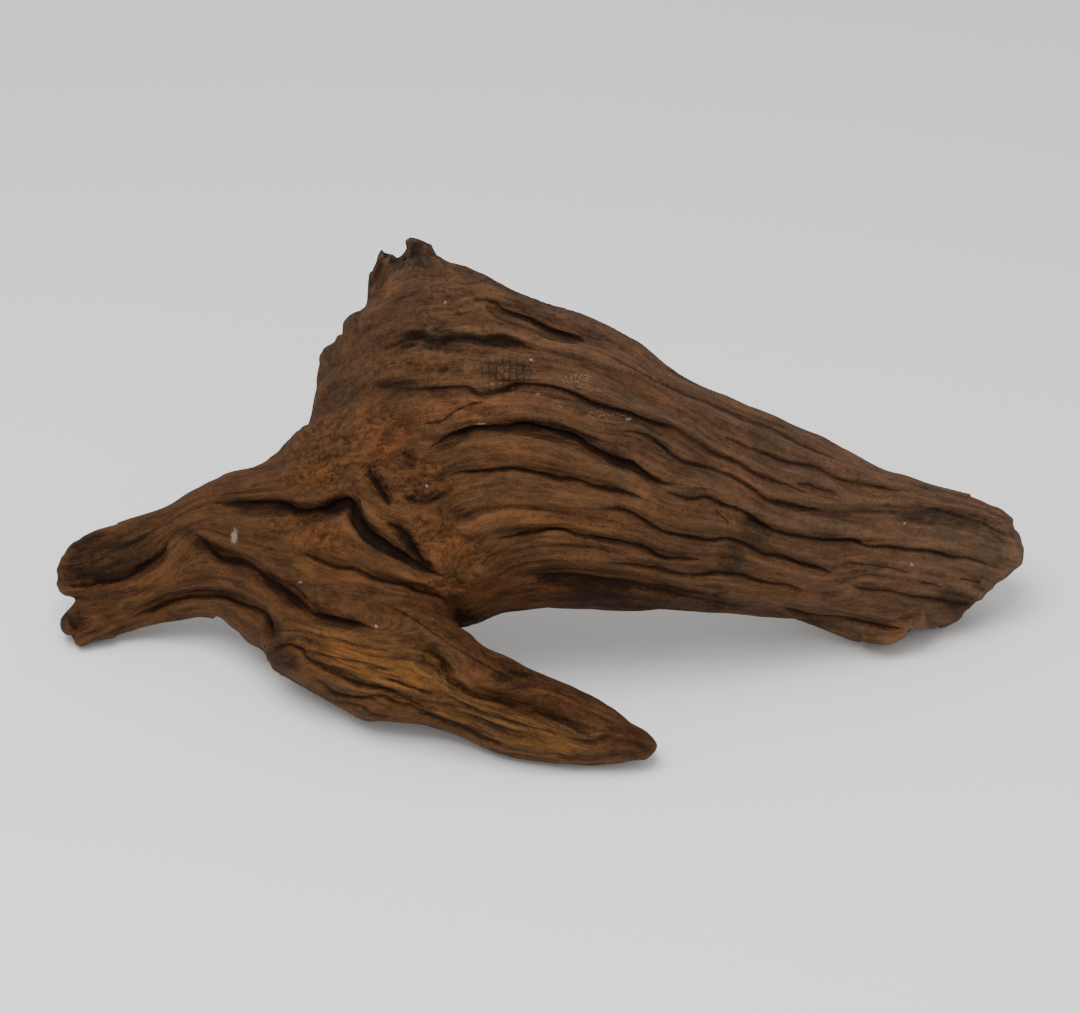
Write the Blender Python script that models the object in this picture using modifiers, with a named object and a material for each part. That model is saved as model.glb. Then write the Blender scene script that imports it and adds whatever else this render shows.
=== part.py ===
"""A river driftwood root: one weathered, fluted piece of root wood that stands on three low points.

The root is drawn as it is seen by someone who looks straight at its broad face: u runs to the right,
w runs up the face and d comes towards the eye. Each limb is a row of upright sections across u. The
limbs are fused, the grooves and the flutes are sunk into them by formula, the sight lines are opened
out from the eye, and the root is then leaned back onto its three feet.
"""

import math

import bmesh
import bpy
import numpy as np
from mathutils import Matrix, Vector

MM = 0.001

# Driving sizes, in millimetres and degrees
EYE_DISTANCE = 1300.0
VIEW_RISE = 30.0
FLOOR_BELOW_AXIS = 67.5
CENTRE_SHIFT = (-0.2, 15.2)

# The skin: how finely it is made, rounded, swollen against the rounding, and thinned out
VOXEL = 1.6
SMOOTH_ROUNDS = 4
CARVED_SMOOTH_ROUNDS = 2
SMOOTH_SHARE = 0.5
SWELL = 0.6
MOST_TRIANGLES = 11400
RING_POINTS = 56
STATION_STEP = 3.0

# Sections of each limb: u, top w, bottom w, middle d, half depth
TRUNK = (
    (-93, 32, 24, -30, 3),
    (-90, 42, 20, -28, 7),
    (-88, 58, 16, -26, 10),
    (-82, 67, 8, -21, 14),
    (-75, 74.5, 0, -13, 19),
    (-69, 88, -12, -7, 22),
    (-64, 95, -22, -2, 26),
    (-54, 100.5, -35, 6, 32),
    (-46, 102, -40, 11, 35),
    (-40, 99.5, -43, 13, 37),
    (-32, 96.5, -48, 16, 39),
    (-24, 93.5, -45, 17, 40),
    (-16, 88.4, -41.2, 18, 41),
    (0, 81.6, -40.4, 18, 42),
    (16, 77.4, -40, 17, 42),
    (28, 71.6, -40.2, 15, 42),
    (40, 65, -40.8, 13, 41),
    (52, 54.6, -40.6, 9, 40),
    (64, 48.2, -41, 5, 39),
    (88, 39, -42.8, -5, 36),
    (112, 28.2, -45, -17, 33),
    (136, 15.8, -53.5, -31, 30),
    (156, 9, -49, -38, 26),
    (172, 5, -42, -42, 22),
    (185, 0.5, -29.5, -46, 16),
    (191.5, -8, -21, -48, 7),
)
BRANCH = (
    (-186, -16, -30, -38, 7),
    (-182, -12.5, -40, -38, 12),
    (-168, -8, -47.5, -37, 18),
    (-152, -2.5, -43.5, -34, 21),
    (-136, 8, -43, -28, 23),
    (-126, 13, -45.5, -22, 26),
    (-116, 15, -55, -14, 29),
    (-104, 21, -64, -5, 32),
    (-98, 29.5, -67, -1, 33),
    (-88, 35, -69, 4, 36),
    (-72, 43, -69, 11, 38),
    (-56, 43, -61, 14, 38),
    (-40, 35, -51, 14, 34),
    (-24, 20, -40, 12, 24),
)
LIMB = (
    (-112, -47, -54, 8, 5),
    (-107, -41, -64, 10, 13),
    (-96, -33, -71, 14, 21),
    (-80, -29, -79.5, 20, 26),
    (-70, -30, -85, 24, 28),
    (-64, -31, -84.5, 26, 28),
    (-48, -37, -86, 32, 26),
    (-32, -48, -91, 36, 23),
    (-24, -55.5, -94.5, 37, 21),
    (-16, -59, -98, 39, 19),
    (0, -66, -101.5, 41, 17),
    (16, -72.5, -103, 42, 15),
    (24, -77.5, -102.5, 43, 13),
    (32, -83, -102, 44, 11),
    (42, -91, -100, 45, 7),
    (47, -94.5, -98.5, 45, 3),
)

# How much thinner a section is at its top than at its middle
TRUNK_TOP_THINNING = 0.42
BRANCH_TOP_THINNING = 0.15
LIMB_TOP_THINNING = 0.10

# Broken strands at the ends, and ridges: points u, w, d, with the strand's radius
STRANDS = {
    "left_upper": (
        (-130, -8, -27, 13), (-150, -15, -34, 14), (-170, -22, -38, 15),
        (-185, -26, -38, 11.5), (-192, -29.5, -38, 6),
    ),
    "left_lower": (
        (-130, -30, -26, 12), (-155, -37, -34, 9.5), (-175, -42.5, -38, 9),
        (-186, -46.5, -38, 7.5), (-191.5, -47, -38, 4.5),
    ),
    "left_foot": (
        (-150, -38, -32, 7), (-170, -45, -37, 6), (-180, -49.5, -39, 4.5), (-184.5, -52, -40, 3),
    ),
    "right_top": (
        (140, -2, -32, 9), (165, -6, -40, 10), (180, -9, -43, 8), (188.5, -10, -45, 4),
    ),
    "right_middle": (
        (140, -16, -25, 12), (170, -18, -38, 12), (185, -19, -43, 9), (193, -20, -45, 4),
    ),
    "right_low": (
        (130, -30, -26, 12), (150, -34.5, -34, 12), (165, -38, -39, 9.5), (175, -33, -42, 5),
    ),
    "right_foot": (
        (96, -30, -16, 11), (116, -37.5, -26, 11), (132, -44.5, -35, 11),
        (141, -49, -38, 7), (145, -49.5, -39, 3),
    ),
    "top_ridge": (
        (-46, 84, -4, 12), (-30, 84.5, -2, 10), (-8, 74, 0, 9.5), (20, 66, 0, 9), (52, 46, 0, 9),
    ),
    "flank_upper": (
        (-56, 72, -12, 12), (-68, 73, -20, 9), (-77.5, 73, -24, 4.5),
    ),
    "flank_lower": (
        (-64, 58, -14, 13), (-78, 59, -24, 9), (-86.5, 59, -28, 5),
    ),
}

# Splinters of the broken peak: root, tip, half width and half depth at the root, share of both at the tip
SPLINTERS = (
    ((-46.6, 84, 0), (-48.6, 108, -6), 8.5, 7.5, 0.55),
    ((-66.5, 80, -8), (-63.2, 104.6, -12), 5.4, 6.0, 0.2),
    ((-59, 86, -6), (-59.8, 102, -10), 6.0, 5.0, 0.25),
)
SPLINTER_SIDES = 12

# Grooves of the broad face: points u, w; width above the line, width below it, depth
GROOVES = {
    "shoulder_slot": (
        ((-23, 82.5), (-20, 82), (-14, 78.5), (-5, 75.5), (1, 72.5), (6, 70), (15, 68), (20, 66.5)),
        2.6, 3.6, 6.1,
    ),
    "upper_hollow": (
        ((-67, 64.5), (-60, 64), (-55, 67), (-50, 68), (-44, 66.5), (-34, 67), (-22, 66), (-15, 67),
         (-5, 64), (0, 62.5)),
        6.0, 4.0, 5.0,
    ),
    "middle_crease": (
        ((-63, 48.5), (-50, 47.5), (-30, 48), (-20, 46), (-9, 48.5), (0, 48.5), (14, 45), (28, 39.5),
         (40, 35.5), (55, 31), (68, 23), (80, 17.5), (94, 10.5), (108, 6), (115, 3.5)),
        3.0, 4.5, 3.4,
    ),
    "upper_flute": (
        ((70, 29.5), (84, 24), (98, 19), (112, 15.5), (122, 10.8), (130, 9), (140, 7.5), (149, 6.6)),
        3.0, 4.0, 2.9,
    ),
    "great_arch": (
        ((-47, 23), (-41, 26), (-35, 29), (-26, 32), (-13, 32.5), (-7, 33), (0, 32), (8, 30), (14, 28),
         (20, 24.5), (26, 21.5), (37, 17.5), (46, 11.5), (58, 8.5)),
        3.0, 5.5, 5.8,
    ),
    "arch_run": (
        ((44, 8.5), (55, 4.5), (66, 4.5), (75, 0.5), (85, -4.5), (95, -9.5), (104, -11.7), (125, -12.8),
         (140, -16), (152, -17.3), (165, -19.2), (175, -21.5), (187, -24.7)),
        2.6, 4.0, 3.7,
    ),
    "shoulder_flute": (
        ((28, 31), (39, 30), (45, 28), (55, 20), (68, 16), (80, 11.5), (92, 3), (110, -0.5), (125, -2.5),
         (133, -1.2), (145, -2.5), (157, -1.8), (173, -3.8), (180, -8)),
        3.0, 4.5, 3.4,
    ),
    "second_arch": (
        ((-37, 10.5), (-34, 14), (-22, 15.3), (-10, 15.7), (1, 13.5), (15, 11), (28, 7.5), (40, 4), (46, 2)),
        3.0, 4.5, 4.0,
    ),
    "knob_pocket": (
        ((-54.4, 6.2), (-51.2, 3.8), (-44.8, 2.2), (-39.2, 4.2), (-34.4, 7.4)),
        3.0, 3.0, 3.2,
    ),
    "third_flute": (
        ((20, -0.5), (33, -1), (42, -5), (50, -9.8), (60, -11.7), (75, -12.4), (90, -18), (104, -22),
         (122, -27)),
        2.8, 4.2, 3.4,
    ),
    "fourth_flute": (
        ((-20, -12), (-8, -10.3), (3, -8.6), (12, -10), (22, -11.8), (35, -14), (50, -19.3), (68, -21.9)),
        2.6, 4.0, 3.7,
    ),
    "fifth_flute": (
        ((23, -20.5), (38, -23), (55, -26.3), (65, -26.8), (73, -25.8), (87, -28.5), (98, -31), (110, -35)),
        2.4, 3.6, 2.9,
    ),
    "belly_edge": (
        ((-8, -27), (10, -26), (30, -29), (50, -33), (70, -38), (84, -40)),
        3.5, 8.0, 5.3,
    ),
    "foot_line": (
        ((94, -39.5), (110, -43), (125, -44.8), (138, -47.5), (147, -49)),
        2.8, 4.0, 3.7,
    ),
    "end_flute": (
        ((123, -29), (130, -32.3), (143, -34), (157, -36.5), (173, -38.8)),
        2.6, 3.6, 2.6,
    ),
    "neck_fold": (
        ((-134, 1.8), (-117, 1.2), (-104, 0.8), (-97, -1.5), (-88, -1.5), (-80, 2.5), (-76, 3.3), (-74, 0),
         (-73, -4), (-70, -8), (-66, -11), (-58, -17), (-50, -22), (-40, -27), (-33, -28.5)),
        3.5, 5.0, 6.9,
    ),
    "fold_branch": (
        ((-62, -6.5), (-57, -8), (-54, -11.5), (-50, -18), (-46.5, -23)),
        3.0, 3.0, 4.8,
    ),
    "neck_pit": (
        ((-69, 17.5), (-66, 10), (-61.5, 4), (-60, 0)),
        3.0, 3.0, 5.3,
    ),
    "cheek_line": (
        ((-97, -17), (-86, -22), (-77, -24.5), (-66, -28.5), (-54, -31), (-44, -35), (-36, -43)),
        3.0, 4.0, 3.2,
    ),
    "sweep": (
        ((-141, -8.5), (-131, -17), (-120, -21.5), (-112, -26), (-103, -32), (-95, -38), (-84, -44.5),
         (-72, -46.5), (-64, -49)),
        3.5, 6.5, 6.1,
    ),
    "lower_sweep": (
        ((-165, -44.5), (-150, -38), (-140, -35.5), (-130, -35), (-120, -37.7), (-111, -42), (-107, -49),
         (-107, -54)),
        3.0, 5.0, 5.0,
    ),
    "facet_edge": (
        ((-190, -31), (-179, -31), (-168, -29.5), (-159, -24.5), (-152, -19), (-149, -11.5)),
        9.0, 2.6, 5.5,
    ),
    "limb_step": (
        ((-57, -55.5), (-47, -59), (-39, -64), (-36, -70), (-28, -75), (-15, -78), (-2, -82.5),
         (12, -87.5), (21, -94), (22, -99)),
        8.0, 2.6, 6.1,
    ),
    "limb_seam": (
        ((-111, -56), (-100, -55), (-93, -60), (-85, -65), (-70, -71), (-54, -77), (-38, -83.5)),
        2.8, 4.0, 3.7,
    ),
    "limb_tear": (
        ((-94, -67.5), (-82, -74), (-70, -76), (-58, -78), (-44, -83.5), (-28, -89.5), (-10, -96.5)),
        2.6, 3.4, 3.2,
    ),
}

# Grooves of the back, measured in the same plane
BACK_GROOVES = {
    "back_spine": (
        ((-60, 60), (-36, 52), (-8, 44), (24, 36), (60, 22), (96, 6), (130, -8), (168, -16)),
        4.0, 7.0, 5.0,
    ),
    "back_low": (
        ((-130, -14), (-96, -10), (-60, 4), (-20, 10), (20, 2), (64, -10), (110, -22)),
        4.0, 6.0, 4.4,
    ),
    "back_high": (
        ((-44, 84), (-16, 72), (16, 60), (52, 44), (84, 30)),
        3.5, 5.5, 3.6,
    ),
    "back_hollow": (
        ((-100, -36), (-76, -24), (-44, -18), (-10, -20), (24, -22)),
        7.0, 9.0, 6.5,
    ),
}
GROOVE_STEPS = 8
GROOVE_END = 0.16
VALLEY_ROUNDING = 0.12
VALLEY_SHARPNESS = 1.5

# Flutes along the grain: width of a flute, length of a swell along it, depth
TRUNK_FLUTES = (11.0, 90.0, 3.8)
BRANCH_FLUTES = (10.0, 60.0, 3.0)
LIMB_FLUTES = (9.0, 50.0, 2.8)

# How a flute runs: how far it wanders round the limb, over what length, and how wide its valley is
FLUTE_WANDER = 0.28
WANDER_LENGTH = 70.0
VALLEY_WIDTH = 0.32

# How far a ridge stands out, as a share of a valley's depth, and how deep flutes are along the outline
FLUTE_RISE = 0.36
EDGE_CALM = 0.4

# Lengths over which the flutes fade at a limb's ends, and what stays of them there
END_FADES = (10.0, 8.0)
END_DEPTH = 0.35

# How sharply one limb's flutes give way to the next one's, and how fast they do past a limb's end
LIMB_CONTRAST = 9.0
PAST_END = 8.0

# How far the skin turns towards the eye, or away from it, where the drawn grooves start and are full
FACING = (-0.15, 0.35)
NOISE_SEED = 11

WOOD_COLOUR = (0.105, 0.048, 0.021, 1.0)
WOOD_ROUGHNESS = 0.82


def clear_scene():
    """Starts from an empty scene."""
    for obj in list(bpy.data.objects):
        bpy.data.objects.remove(obj, do_unlink=True)


def new_collection(name):
    """A collection under the scene's own."""
    collection = bpy.data.collections.new(name)
    bpy.context.scene.collection.children.link(collection)
    return collection


def smooth_step(low, high, value):
    """0 below low, 1 above high, and a smooth rise between."""
    t = np.clip((value - low) / (high - low), 0.0, 1.0)
    return t * t * (3.0 - 2.0 * t)


class Limb:
    """A run of upright sections, each egg-shaped and thinner towards its top."""

    def __init__(self, name, stations, top_thinning, flutes, seed):
        rows = np.array(stations, float)
        self.name = name
        self.ends = rows[0, 0], rows[-1, 0]
        self.rows = rows
        self.thickest = float((rows[:, 1] - rows[:, 2] + 2.0 * rows[:, 4]).max()) / 4.0
        self.top_thinning = top_thinning
        self.flutes = flutes
        self.seed = seed

    def section(self, u):
        """Middle w, half height, middle d and half depth at u."""
        columns = self.rows[:, 1:].T
        top, bottom, depth, half_depth = (np.interp(u, self.rows[:, 0], column) for column in columns)
        return (top + bottom) / 2.0, (top - bottom) / 2.0, depth, half_depth

    def ring(self, u):
        """The points of one section, in order round it."""
        angles = np.linspace(0.0, 2.0 * math.pi, RING_POINTS, endpoint=False)
        middle, half_height, depth, half_depth = self.section(u)
        rise = np.sin(angles)
        thickness = half_depth * (1.0 - self.top_thinning * np.clip(rise, 0.0, 1.0))
        across = middle + half_height * rise
        return np.column_stack([np.full(RING_POINTS, u), across, depth + thickness * np.cos(angles)])

    def around(self, points):
        """Each point's distance from the limb's middle line, 1 on its surface, and its angle round it."""
        u = np.clip(points[:, 0], *self.ends)
        middle, half_height, depth, half_depth = self.section(u)
        rise = (points[:, 1] - middle) / half_height
        thickness = half_depth * (1.0 - self.top_thinning * np.clip(rise, 0.0, 1.0))
        out = (points[:, 2] - depth) / thickness
        past_end = np.abs(points[:, 0] - u) / PAST_END
        return np.sqrt(rise ** 2 + out ** 2 + past_end ** 2), np.arctan2(rise, out)


def loft(limb, collection):
    """A closed skin over a limb's sections."""
    low, high = limb.ends
    count = int(round((high - low) / STATION_STEP))
    rings = [limb.ring(u) for u in np.linspace(low, high, count + 1)]
    skin = bmesh.new()
    rows = [[skin.verts.new(p) for p in ring] for ring in rings]
    for near, far in zip(rows, rows[1:]):
        for k in range(RING_POINTS):
            nxt = (k + 1) % RING_POINTS
            skin.faces.new((near[k], near[nxt], far[nxt], far[k]))
    skin.faces.new(rows[0])
    skin.faces.new(rows[-1])
    bmesh.ops.recalc_face_normals(skin, faces=skin.faces)
    mesh = bpy.data.meshes.new(limb.name)
    skin.to_mesh(mesh)
    skin.free()
    obj = bpy.data.objects.new(limb.name, mesh)
    collection.objects.link(obj)
    return obj


def strand(name, points, collection):
    """A tapering round strand of wood along a smooth curve."""
    curve = bpy.data.curves.new(name, "CURVE")
    curve.dimensions = "3D"
    curve.bevel_depth = 1.0
    curve.bevel_resolution = 4
    curve.resolution_u = 6
    curve.use_fill_caps = True
    spline = curve.splines.new("NURBS")
    spline.points.add(len(points) - 1)
    spline.use_endpoint_u = True
    spline.order_u = 3
    for point, (u, w, d, radius) in zip(spline.points, points):
        point.co = (u, w, d, 1.0)
        point.radius = radius
    obj = bpy.data.objects.new(name, curve)
    collection.objects.link(obj)
    return obj


def splinter(name, root, tip, half_width, half_depth, tip_share, collection):
    """A flat, pointed tooth of broken wood."""
    length = (Vector(tip) - Vector(root)).length
    tooth = bmesh.new()
    bmesh.ops.create_cone(
        tooth, cap_ends=True, segments=SPLINTER_SIDES, radius1=1.0, radius2=tip_share, depth=1.0
    )
    bmesh.ops.scale(tooth, vec=(half_width, half_depth, length), verts=tooth.verts)
    bmesh.ops.translate(tooth, vec=(0.0, 0.0, length / 2.0), verts=tooth.verts)
    mesh = bpy.data.meshes.new(name)
    tooth.to_mesh(mesh)
    tooth.free()
    upright = (Vector(tip) - Vector(root)).to_track_quat("Z", "Y").to_matrix().to_4x4()
    mesh.transform(Matrix.Translation(root) @ upright)
    obj = bpy.data.objects.new(name, mesh)
    collection.objects.link(obj)
    return obj


def evaluated_mesh(obj):
    """The object's mesh with its modifiers applied."""
    bpy.context.view_layer.update()
    graph = bpy.context.evaluated_depsgraph_get()
    return bpy.data.meshes.new_from_object(obj.evaluated_get(graph))


def soften(obj, name, rounds):
    """Rounds an object's small edges off."""
    modifier = obj.modifiers.new(name, "SMOOTH")
    modifier.factor = SMOOTH_SHARE
    modifier.iterations = rounds


def fused(pieces, collection):
    """One closed skin over all the overlapping pieces, with their joints softened."""
    whole = bmesh.new()
    for piece in pieces:
        mesh = evaluated_mesh(piece)
        whole.from_mesh(mesh)
        bpy.data.meshes.remove(mesh)
    bmesh.ops.remove_doubles(whole, verts=whole.verts, dist=0.01)
    mesh = bpy.data.meshes.new("fused_limbs")
    whole.to_mesh(mesh)
    whole.free()
    obj = bpy.data.objects.new("fused_limbs", mesh)
    collection.objects.link(obj)
    skin = obj.modifiers.new("one_skin", "REMESH")
    skin.mode = "VOXEL"
    skin.voxel_size = VOXEL
    soften(obj, "soft_joints", SMOOTH_ROUNDS)
    return obj


def points_of(mesh):
    """The mesh's vertices as rows of u, w, d."""
    flat = np.empty(len(mesh.vertices) * 3)
    mesh.vertices.foreach_get("co", flat)
    return flat.reshape(-1, 3)


def normals_of(mesh):
    """The mesh's vertex normals as rows."""
    flat = np.empty(len(mesh.vertices) * 3)
    mesh.vertex_normals.foreach_get("vector", flat)
    return flat.reshape(-1, 3)


def smooth_line(points):
    """A Catmull-Rom curve through the points, as many short steps."""
    p = np.array(points, float)
    p = np.vstack([2 * p[0] - p[1], p, 2 * p[-1] - p[-2]])
    t = np.linspace(0.0, 1.0, GROOVE_STEPS, endpoint=False)[:, None]
    spans = []
    for a, b, c, d in zip(p, p[1:], p[2:], p[3:]):
        bend = (2 * a - 5 * b + 4 * c - d) * t ** 2 + (3 * b - a - 3 * c + d) * t ** 3
        spans.append(0.5 * (2 * b + (c - a) * t + bend))
    return np.vstack([*spans, p[-2:-1]])


def valley(distance, width):
    """A valley's profile: 1 along its line and 0 from its width on, with a slightly rounded floor."""
    share = np.sqrt((distance / width) ** 2 + VALLEY_ROUNDING ** 2) - VALLEY_ROUNDING
    return np.clip(1.0 - share, 0.0, 1.0) ** VALLEY_SHARPNESS


def groove_depth(plane_points, line, above, below, depth):
    """How deep a groove is at each point: steep on its narrow side, easy on its wide one."""
    path = smooth_line(line)
    steps = np.linalg.norm(np.diff(path, axis=0), axis=1)
    run = np.concatenate([[0.0], np.cumsum(steps)])
    tangents = np.gradient(path, axis=0)
    tangents /= np.linalg.norm(tangents, axis=1)[:, None]
    reach = max(above, below)
    near = np.all((plane_points > path.min(0) - reach) & (plane_points < path.max(0) + reach), axis=1)
    found = np.zeros(len(plane_points))
    if not near.any():
        return found
    offsets = plane_points[near][:, None, :] - path[None, :, :]
    nearest = np.argmin((offsets ** 2).sum(2), axis=1)
    rows = np.arange(len(nearest))
    offset, tangent = offsets[rows, nearest], tangents[nearest]
    side = tangent[:, 0] * offset[:, 1] - tangent[:, 1] * offset[:, 0]
    past_end = (nearest == 0) | (nearest == len(path) - 1)
    distance = np.where(past_end, np.linalg.norm(offset, axis=1), np.abs(side))
    along = run[nearest] / run[-1]
    ends = smooth_step(0.0, GROOVE_END, along) * smooth_step(0.0, GROOVE_END, 1.0 - along)
    found[near] = depth * ends * valley(distance, np.where(side > 0.0, above, below))
    return found


class GradientNoise:
    """Smooth random swells in space, the same on each run."""

    def __init__(self, seed):
        rng = np.random.default_rng(seed)
        self.order = np.tile(rng.permutation(256), 3)
        slopes = rng.normal(size=(256, 3))
        self.slopes = slopes / np.linalg.norm(slopes, axis=1)[:, None]

    def __call__(self, points):
        cell = np.floor(points).astype(int)
        inside = points - cell
        ease = inside ** 3 * (inside * (inside * 6 - 15) + 10)
        total = np.zeros(len(points))
        for corner in np.ndindex(2, 2, 2):
            at = (cell + corner) & 255
            key = self.order[self.order[self.order[at[:, 0]] + at[:, 1]] + at[:, 2]]
            share = np.prod(np.where(np.array(corner) == 1, ease, 1.0 - ease), axis=1)
            total += share * (self.slopes[key] * (inside - corner)).sum(1)
        return total


def flute_depth(limb, u, angle, noise):
    """Rounded ridges, which stand out a little, and sharp valleys that run along a limb."""
    width, swell, depth = limb.flutes
    _, half_height, _, half_depth = limb.section(np.clip(u, *limb.ends))
    girth = np.sqrt((half_height + half_depth) / (2.0 * limb.thickest))
    radius = girth * limb.thickest / width
    wander = np.column_stack([u / WANDER_LENGTH, np.full(len(u), limb.seed + 0.5), np.cos(angle)])
    turned = angle + FLUTE_WANDER * noise(wander)
    grain = np.column_stack([u / swell + limb.seed, radius * np.cos(turned), radius * np.sin(turned)])
    sunk = valley(np.abs(noise(grain)), VALLEY_WIDTH) - FLUTE_RISE
    calm = EDGE_CALM + (1.0 - EDGE_CALM) * np.cos(angle) ** 2
    fade = smooth_step(0.0, END_FADES[0], u - limb.ends[0]) * smooth_step(0.0, END_FADES[1], limb.ends[1] - u)
    return depth * girth * calm * sunk * (END_DEPTH + (1.0 - END_DEPTH) * fade)


def relief(points, normals, limbs):
    """How far the surface is sunk at each point, in millimetres."""
    noise = GradientNoise(NOISE_SEED)
    found = [limb.around(points) for limb in limbs]
    distances = np.array([distance for distance, _ in found])
    weights = np.exp(-LIMB_CONTRAST * (distances - distances.min(0)))
    weights /= weights.sum(0)
    sunk = np.zeros(len(points))
    for limb, (_, angle), weight in zip(limbs, found, weights):
        sunk += weight * flute_depth(limb, points[:, 0], angle, noise)
    faces_eye = smooth_step(*FACING, normals[:, 2])
    faces_back = smooth_step(*FACING, -normals[:, 2])
    plane = points[:, :2]
    front = np.zeros(len(points))
    back = np.zeros(len(points))
    for line, above, below, depth in GROOVES.values():
        front = np.maximum(front, groove_depth(plane, line, above, below, depth))
    for line, above, below, depth in BACK_GROOVES.values():
        back = np.maximum(back, groove_depth(plane, line, above, below, depth))
    return sunk + front * faces_eye + back * faces_back - SWELL


def carve(mesh, limbs):
    """Sinks the grooves and the flutes into the fused skin."""
    points, normals = points_of(mesh), normals_of(mesh)
    points -= normals * relief(points, normals, limbs)[:, None]
    mesh.vertices.foreach_set("co", points.ravel())
    mesh.update()


def open_sight_lines(mesh):
    """Moves each point along its own sight line's scale, so that the root looks as drawn from the eye."""
    points = points_of(mesh)
    points[:, :2] *= (1.0 - points[:, 2:] / EYE_DISTANCE)
    mesh.vertices.foreach_set("co", points.ravel())
    mesh.update()


def stand(mesh):
    """Leans the root back, drops it to the floor and scales it to metres."""
    lean = Matrix.Rotation(math.radians(90.0 - VIEW_RISE), 4, "X")
    lift = Matrix.Translation((CENTRE_SHIFT[0], CENTRE_SHIFT[1], FLOOR_BELOW_AXIS))
    mesh.transform(Matrix.Scale(MM, 4) @ lift @ lean)


def thinned(obj, most_triangles):
    """The object's mesh with its triangles brought under a number."""
    triangles = sum(len(face.vertices) - 2 for face in obj.data.polygons)
    fewer = obj.modifiers.new("fewer_faces", "DECIMATE")
    fewer.ratio = most_triangles / triangles
    fewer.use_collapse_triangulate = True
    mesh = evaluated_mesh(obj)
    obj.modifiers.remove(fewer)
    return mesh


def flat_feet(mesh):
    """Cuts the lowest wood off level, which leaves a small flat spot under each foot."""
    body = bmesh.new()
    body.from_mesh(mesh)
    everything = body.verts[:] + body.edges[:] + body.faces[:]
    cut = bmesh.ops.bisect_plane(
        body, geom=everything, dist=1e-6, plane_co=(0, 0, 0), plane_no=(0, 0, -1), clear_outer=True
    )
    rim = [e for e in cut["geom_cut"] if isinstance(e, bmesh.types.BMEdge)]
    bmesh.ops.holes_fill(body, edges=rim, sides=0)
    bmesh.ops.triangulate(body, faces=[f for f in body.faces if len(f.verts) > 3])
    bmesh.ops.recalc_face_normals(body, faces=body.faces)
    body.to_mesh(mesh)
    body.free()


def wood():
    """Weathered brown root wood."""
    material = bpy.data.materials.new("weathered_root_wood")
    material.use_nodes = True
    shader = material.node_tree.nodes["Principled BSDF"]
    shader.inputs["Base Color"].default_value = WOOD_COLOUR
    shader.inputs["Roughness"].default_value = WOOD_ROUGHNESS
    shader.inputs["Metallic"].default_value = 0.0
    return material


def build():
    """Makes the root as one object."""
    clear_scene()
    finished = new_collection("river_driftwood_root")
    construction = new_collection("construction")
    construction.hide_render = True
    limbs = [
        Limb("trunk", TRUNK, TRUNK_TOP_THINNING, TRUNK_FLUTES, 1),
        Limb("branch", BRANCH, BRANCH_TOP_THINNING, BRANCH_FLUTES, 2),
        Limb("limb", LIMB, LIMB_TOP_THINNING, LIMB_FLUTES, 3),
    ]
    pieces = [loft(limb, construction) for limb in limbs]
    pieces += [strand(name, points, construction) for name, points in STRANDS.items()]
    for k, sizes in enumerate(SPLINTERS):
        pieces.append(splinter(f"splinter_{k}", *sizes, construction))
    skin = fused(pieces, construction)
    carved = bpy.data.objects.new("carved", evaluated_mesh(skin))
    construction.objects.link(carved)
    carve(carved.data, limbs)
    soften(carved, "soft_grooves", CARVED_SMOOTH_ROUNDS)
    open_sight_lines(carved.data)
    stand(carved.data)
    mesh = thinned(carved, MOST_TRIANGLES)
    flat_feet(mesh)
    mesh.name = "driftwood_root"
    mesh.materials.clear()
    mesh.materials.append(wood())
    root = bpy.data.objects.new("driftwood_root", mesh)
    finished.objects.link(root)
    mesh.shade_smooth()
    for helper in list(construction.objects):
        bpy.data.objects.remove(helper, do_unlink=True)
    return root


build()
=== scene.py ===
"""Looks for the river driftwood root: the finely fluted skin, its weathered wood, and the studio round it."""

import math

import bmesh
import bpy
import numpy as np
from mathutils import Matrix, Vector


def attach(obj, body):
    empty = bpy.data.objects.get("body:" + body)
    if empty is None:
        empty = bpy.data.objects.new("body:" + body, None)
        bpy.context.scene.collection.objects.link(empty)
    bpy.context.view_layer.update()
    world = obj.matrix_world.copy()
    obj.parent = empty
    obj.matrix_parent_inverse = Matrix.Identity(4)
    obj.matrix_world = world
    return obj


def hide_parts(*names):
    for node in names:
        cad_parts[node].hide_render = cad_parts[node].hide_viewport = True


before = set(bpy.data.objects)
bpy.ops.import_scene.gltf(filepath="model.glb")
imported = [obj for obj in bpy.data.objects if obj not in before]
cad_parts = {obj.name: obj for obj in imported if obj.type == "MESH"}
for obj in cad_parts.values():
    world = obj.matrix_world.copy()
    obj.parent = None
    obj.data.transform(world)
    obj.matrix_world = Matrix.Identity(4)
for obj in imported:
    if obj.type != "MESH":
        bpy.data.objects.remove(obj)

bl_info = {
    "name": "River driftwood root",
    "version": (1, 0, 0),
    "blender": (4, 5, 0),
    "location": "3D View > Sidebar > Driftwood",
    "description": "Carves the fine relief of a weathered root and gives it its wood",
    "category": "Object",
}

NODE = "driftwood_root"
BODY = "root"

# How the root stands in front of the eye that its face is drawn for, in millimetres and degrees
EYE_DISTANCE = 1300.0
VIEW_RISE = 30.0
FLOOR_BELOW_AXIS = 67.5
CENTRE_SHIFT = (-0.2, 15.2)
EYE_RISE = 0.4
IMAGE_WIDTH = 432.0
SENSOR = 36.0
MILLIMETRE = 0.001
PER_METRE = 1000.0
LEAN = Matrix.Rotation(math.radians(90.0 - VIEW_RISE), 4, "X")
TURN = np.array(LEAN.to_3x3())
SHIFT = np.array([CENTRE_SHIFT[0], CENTRE_SHIFT[1], FLOOR_BELOW_AXIS])

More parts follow.
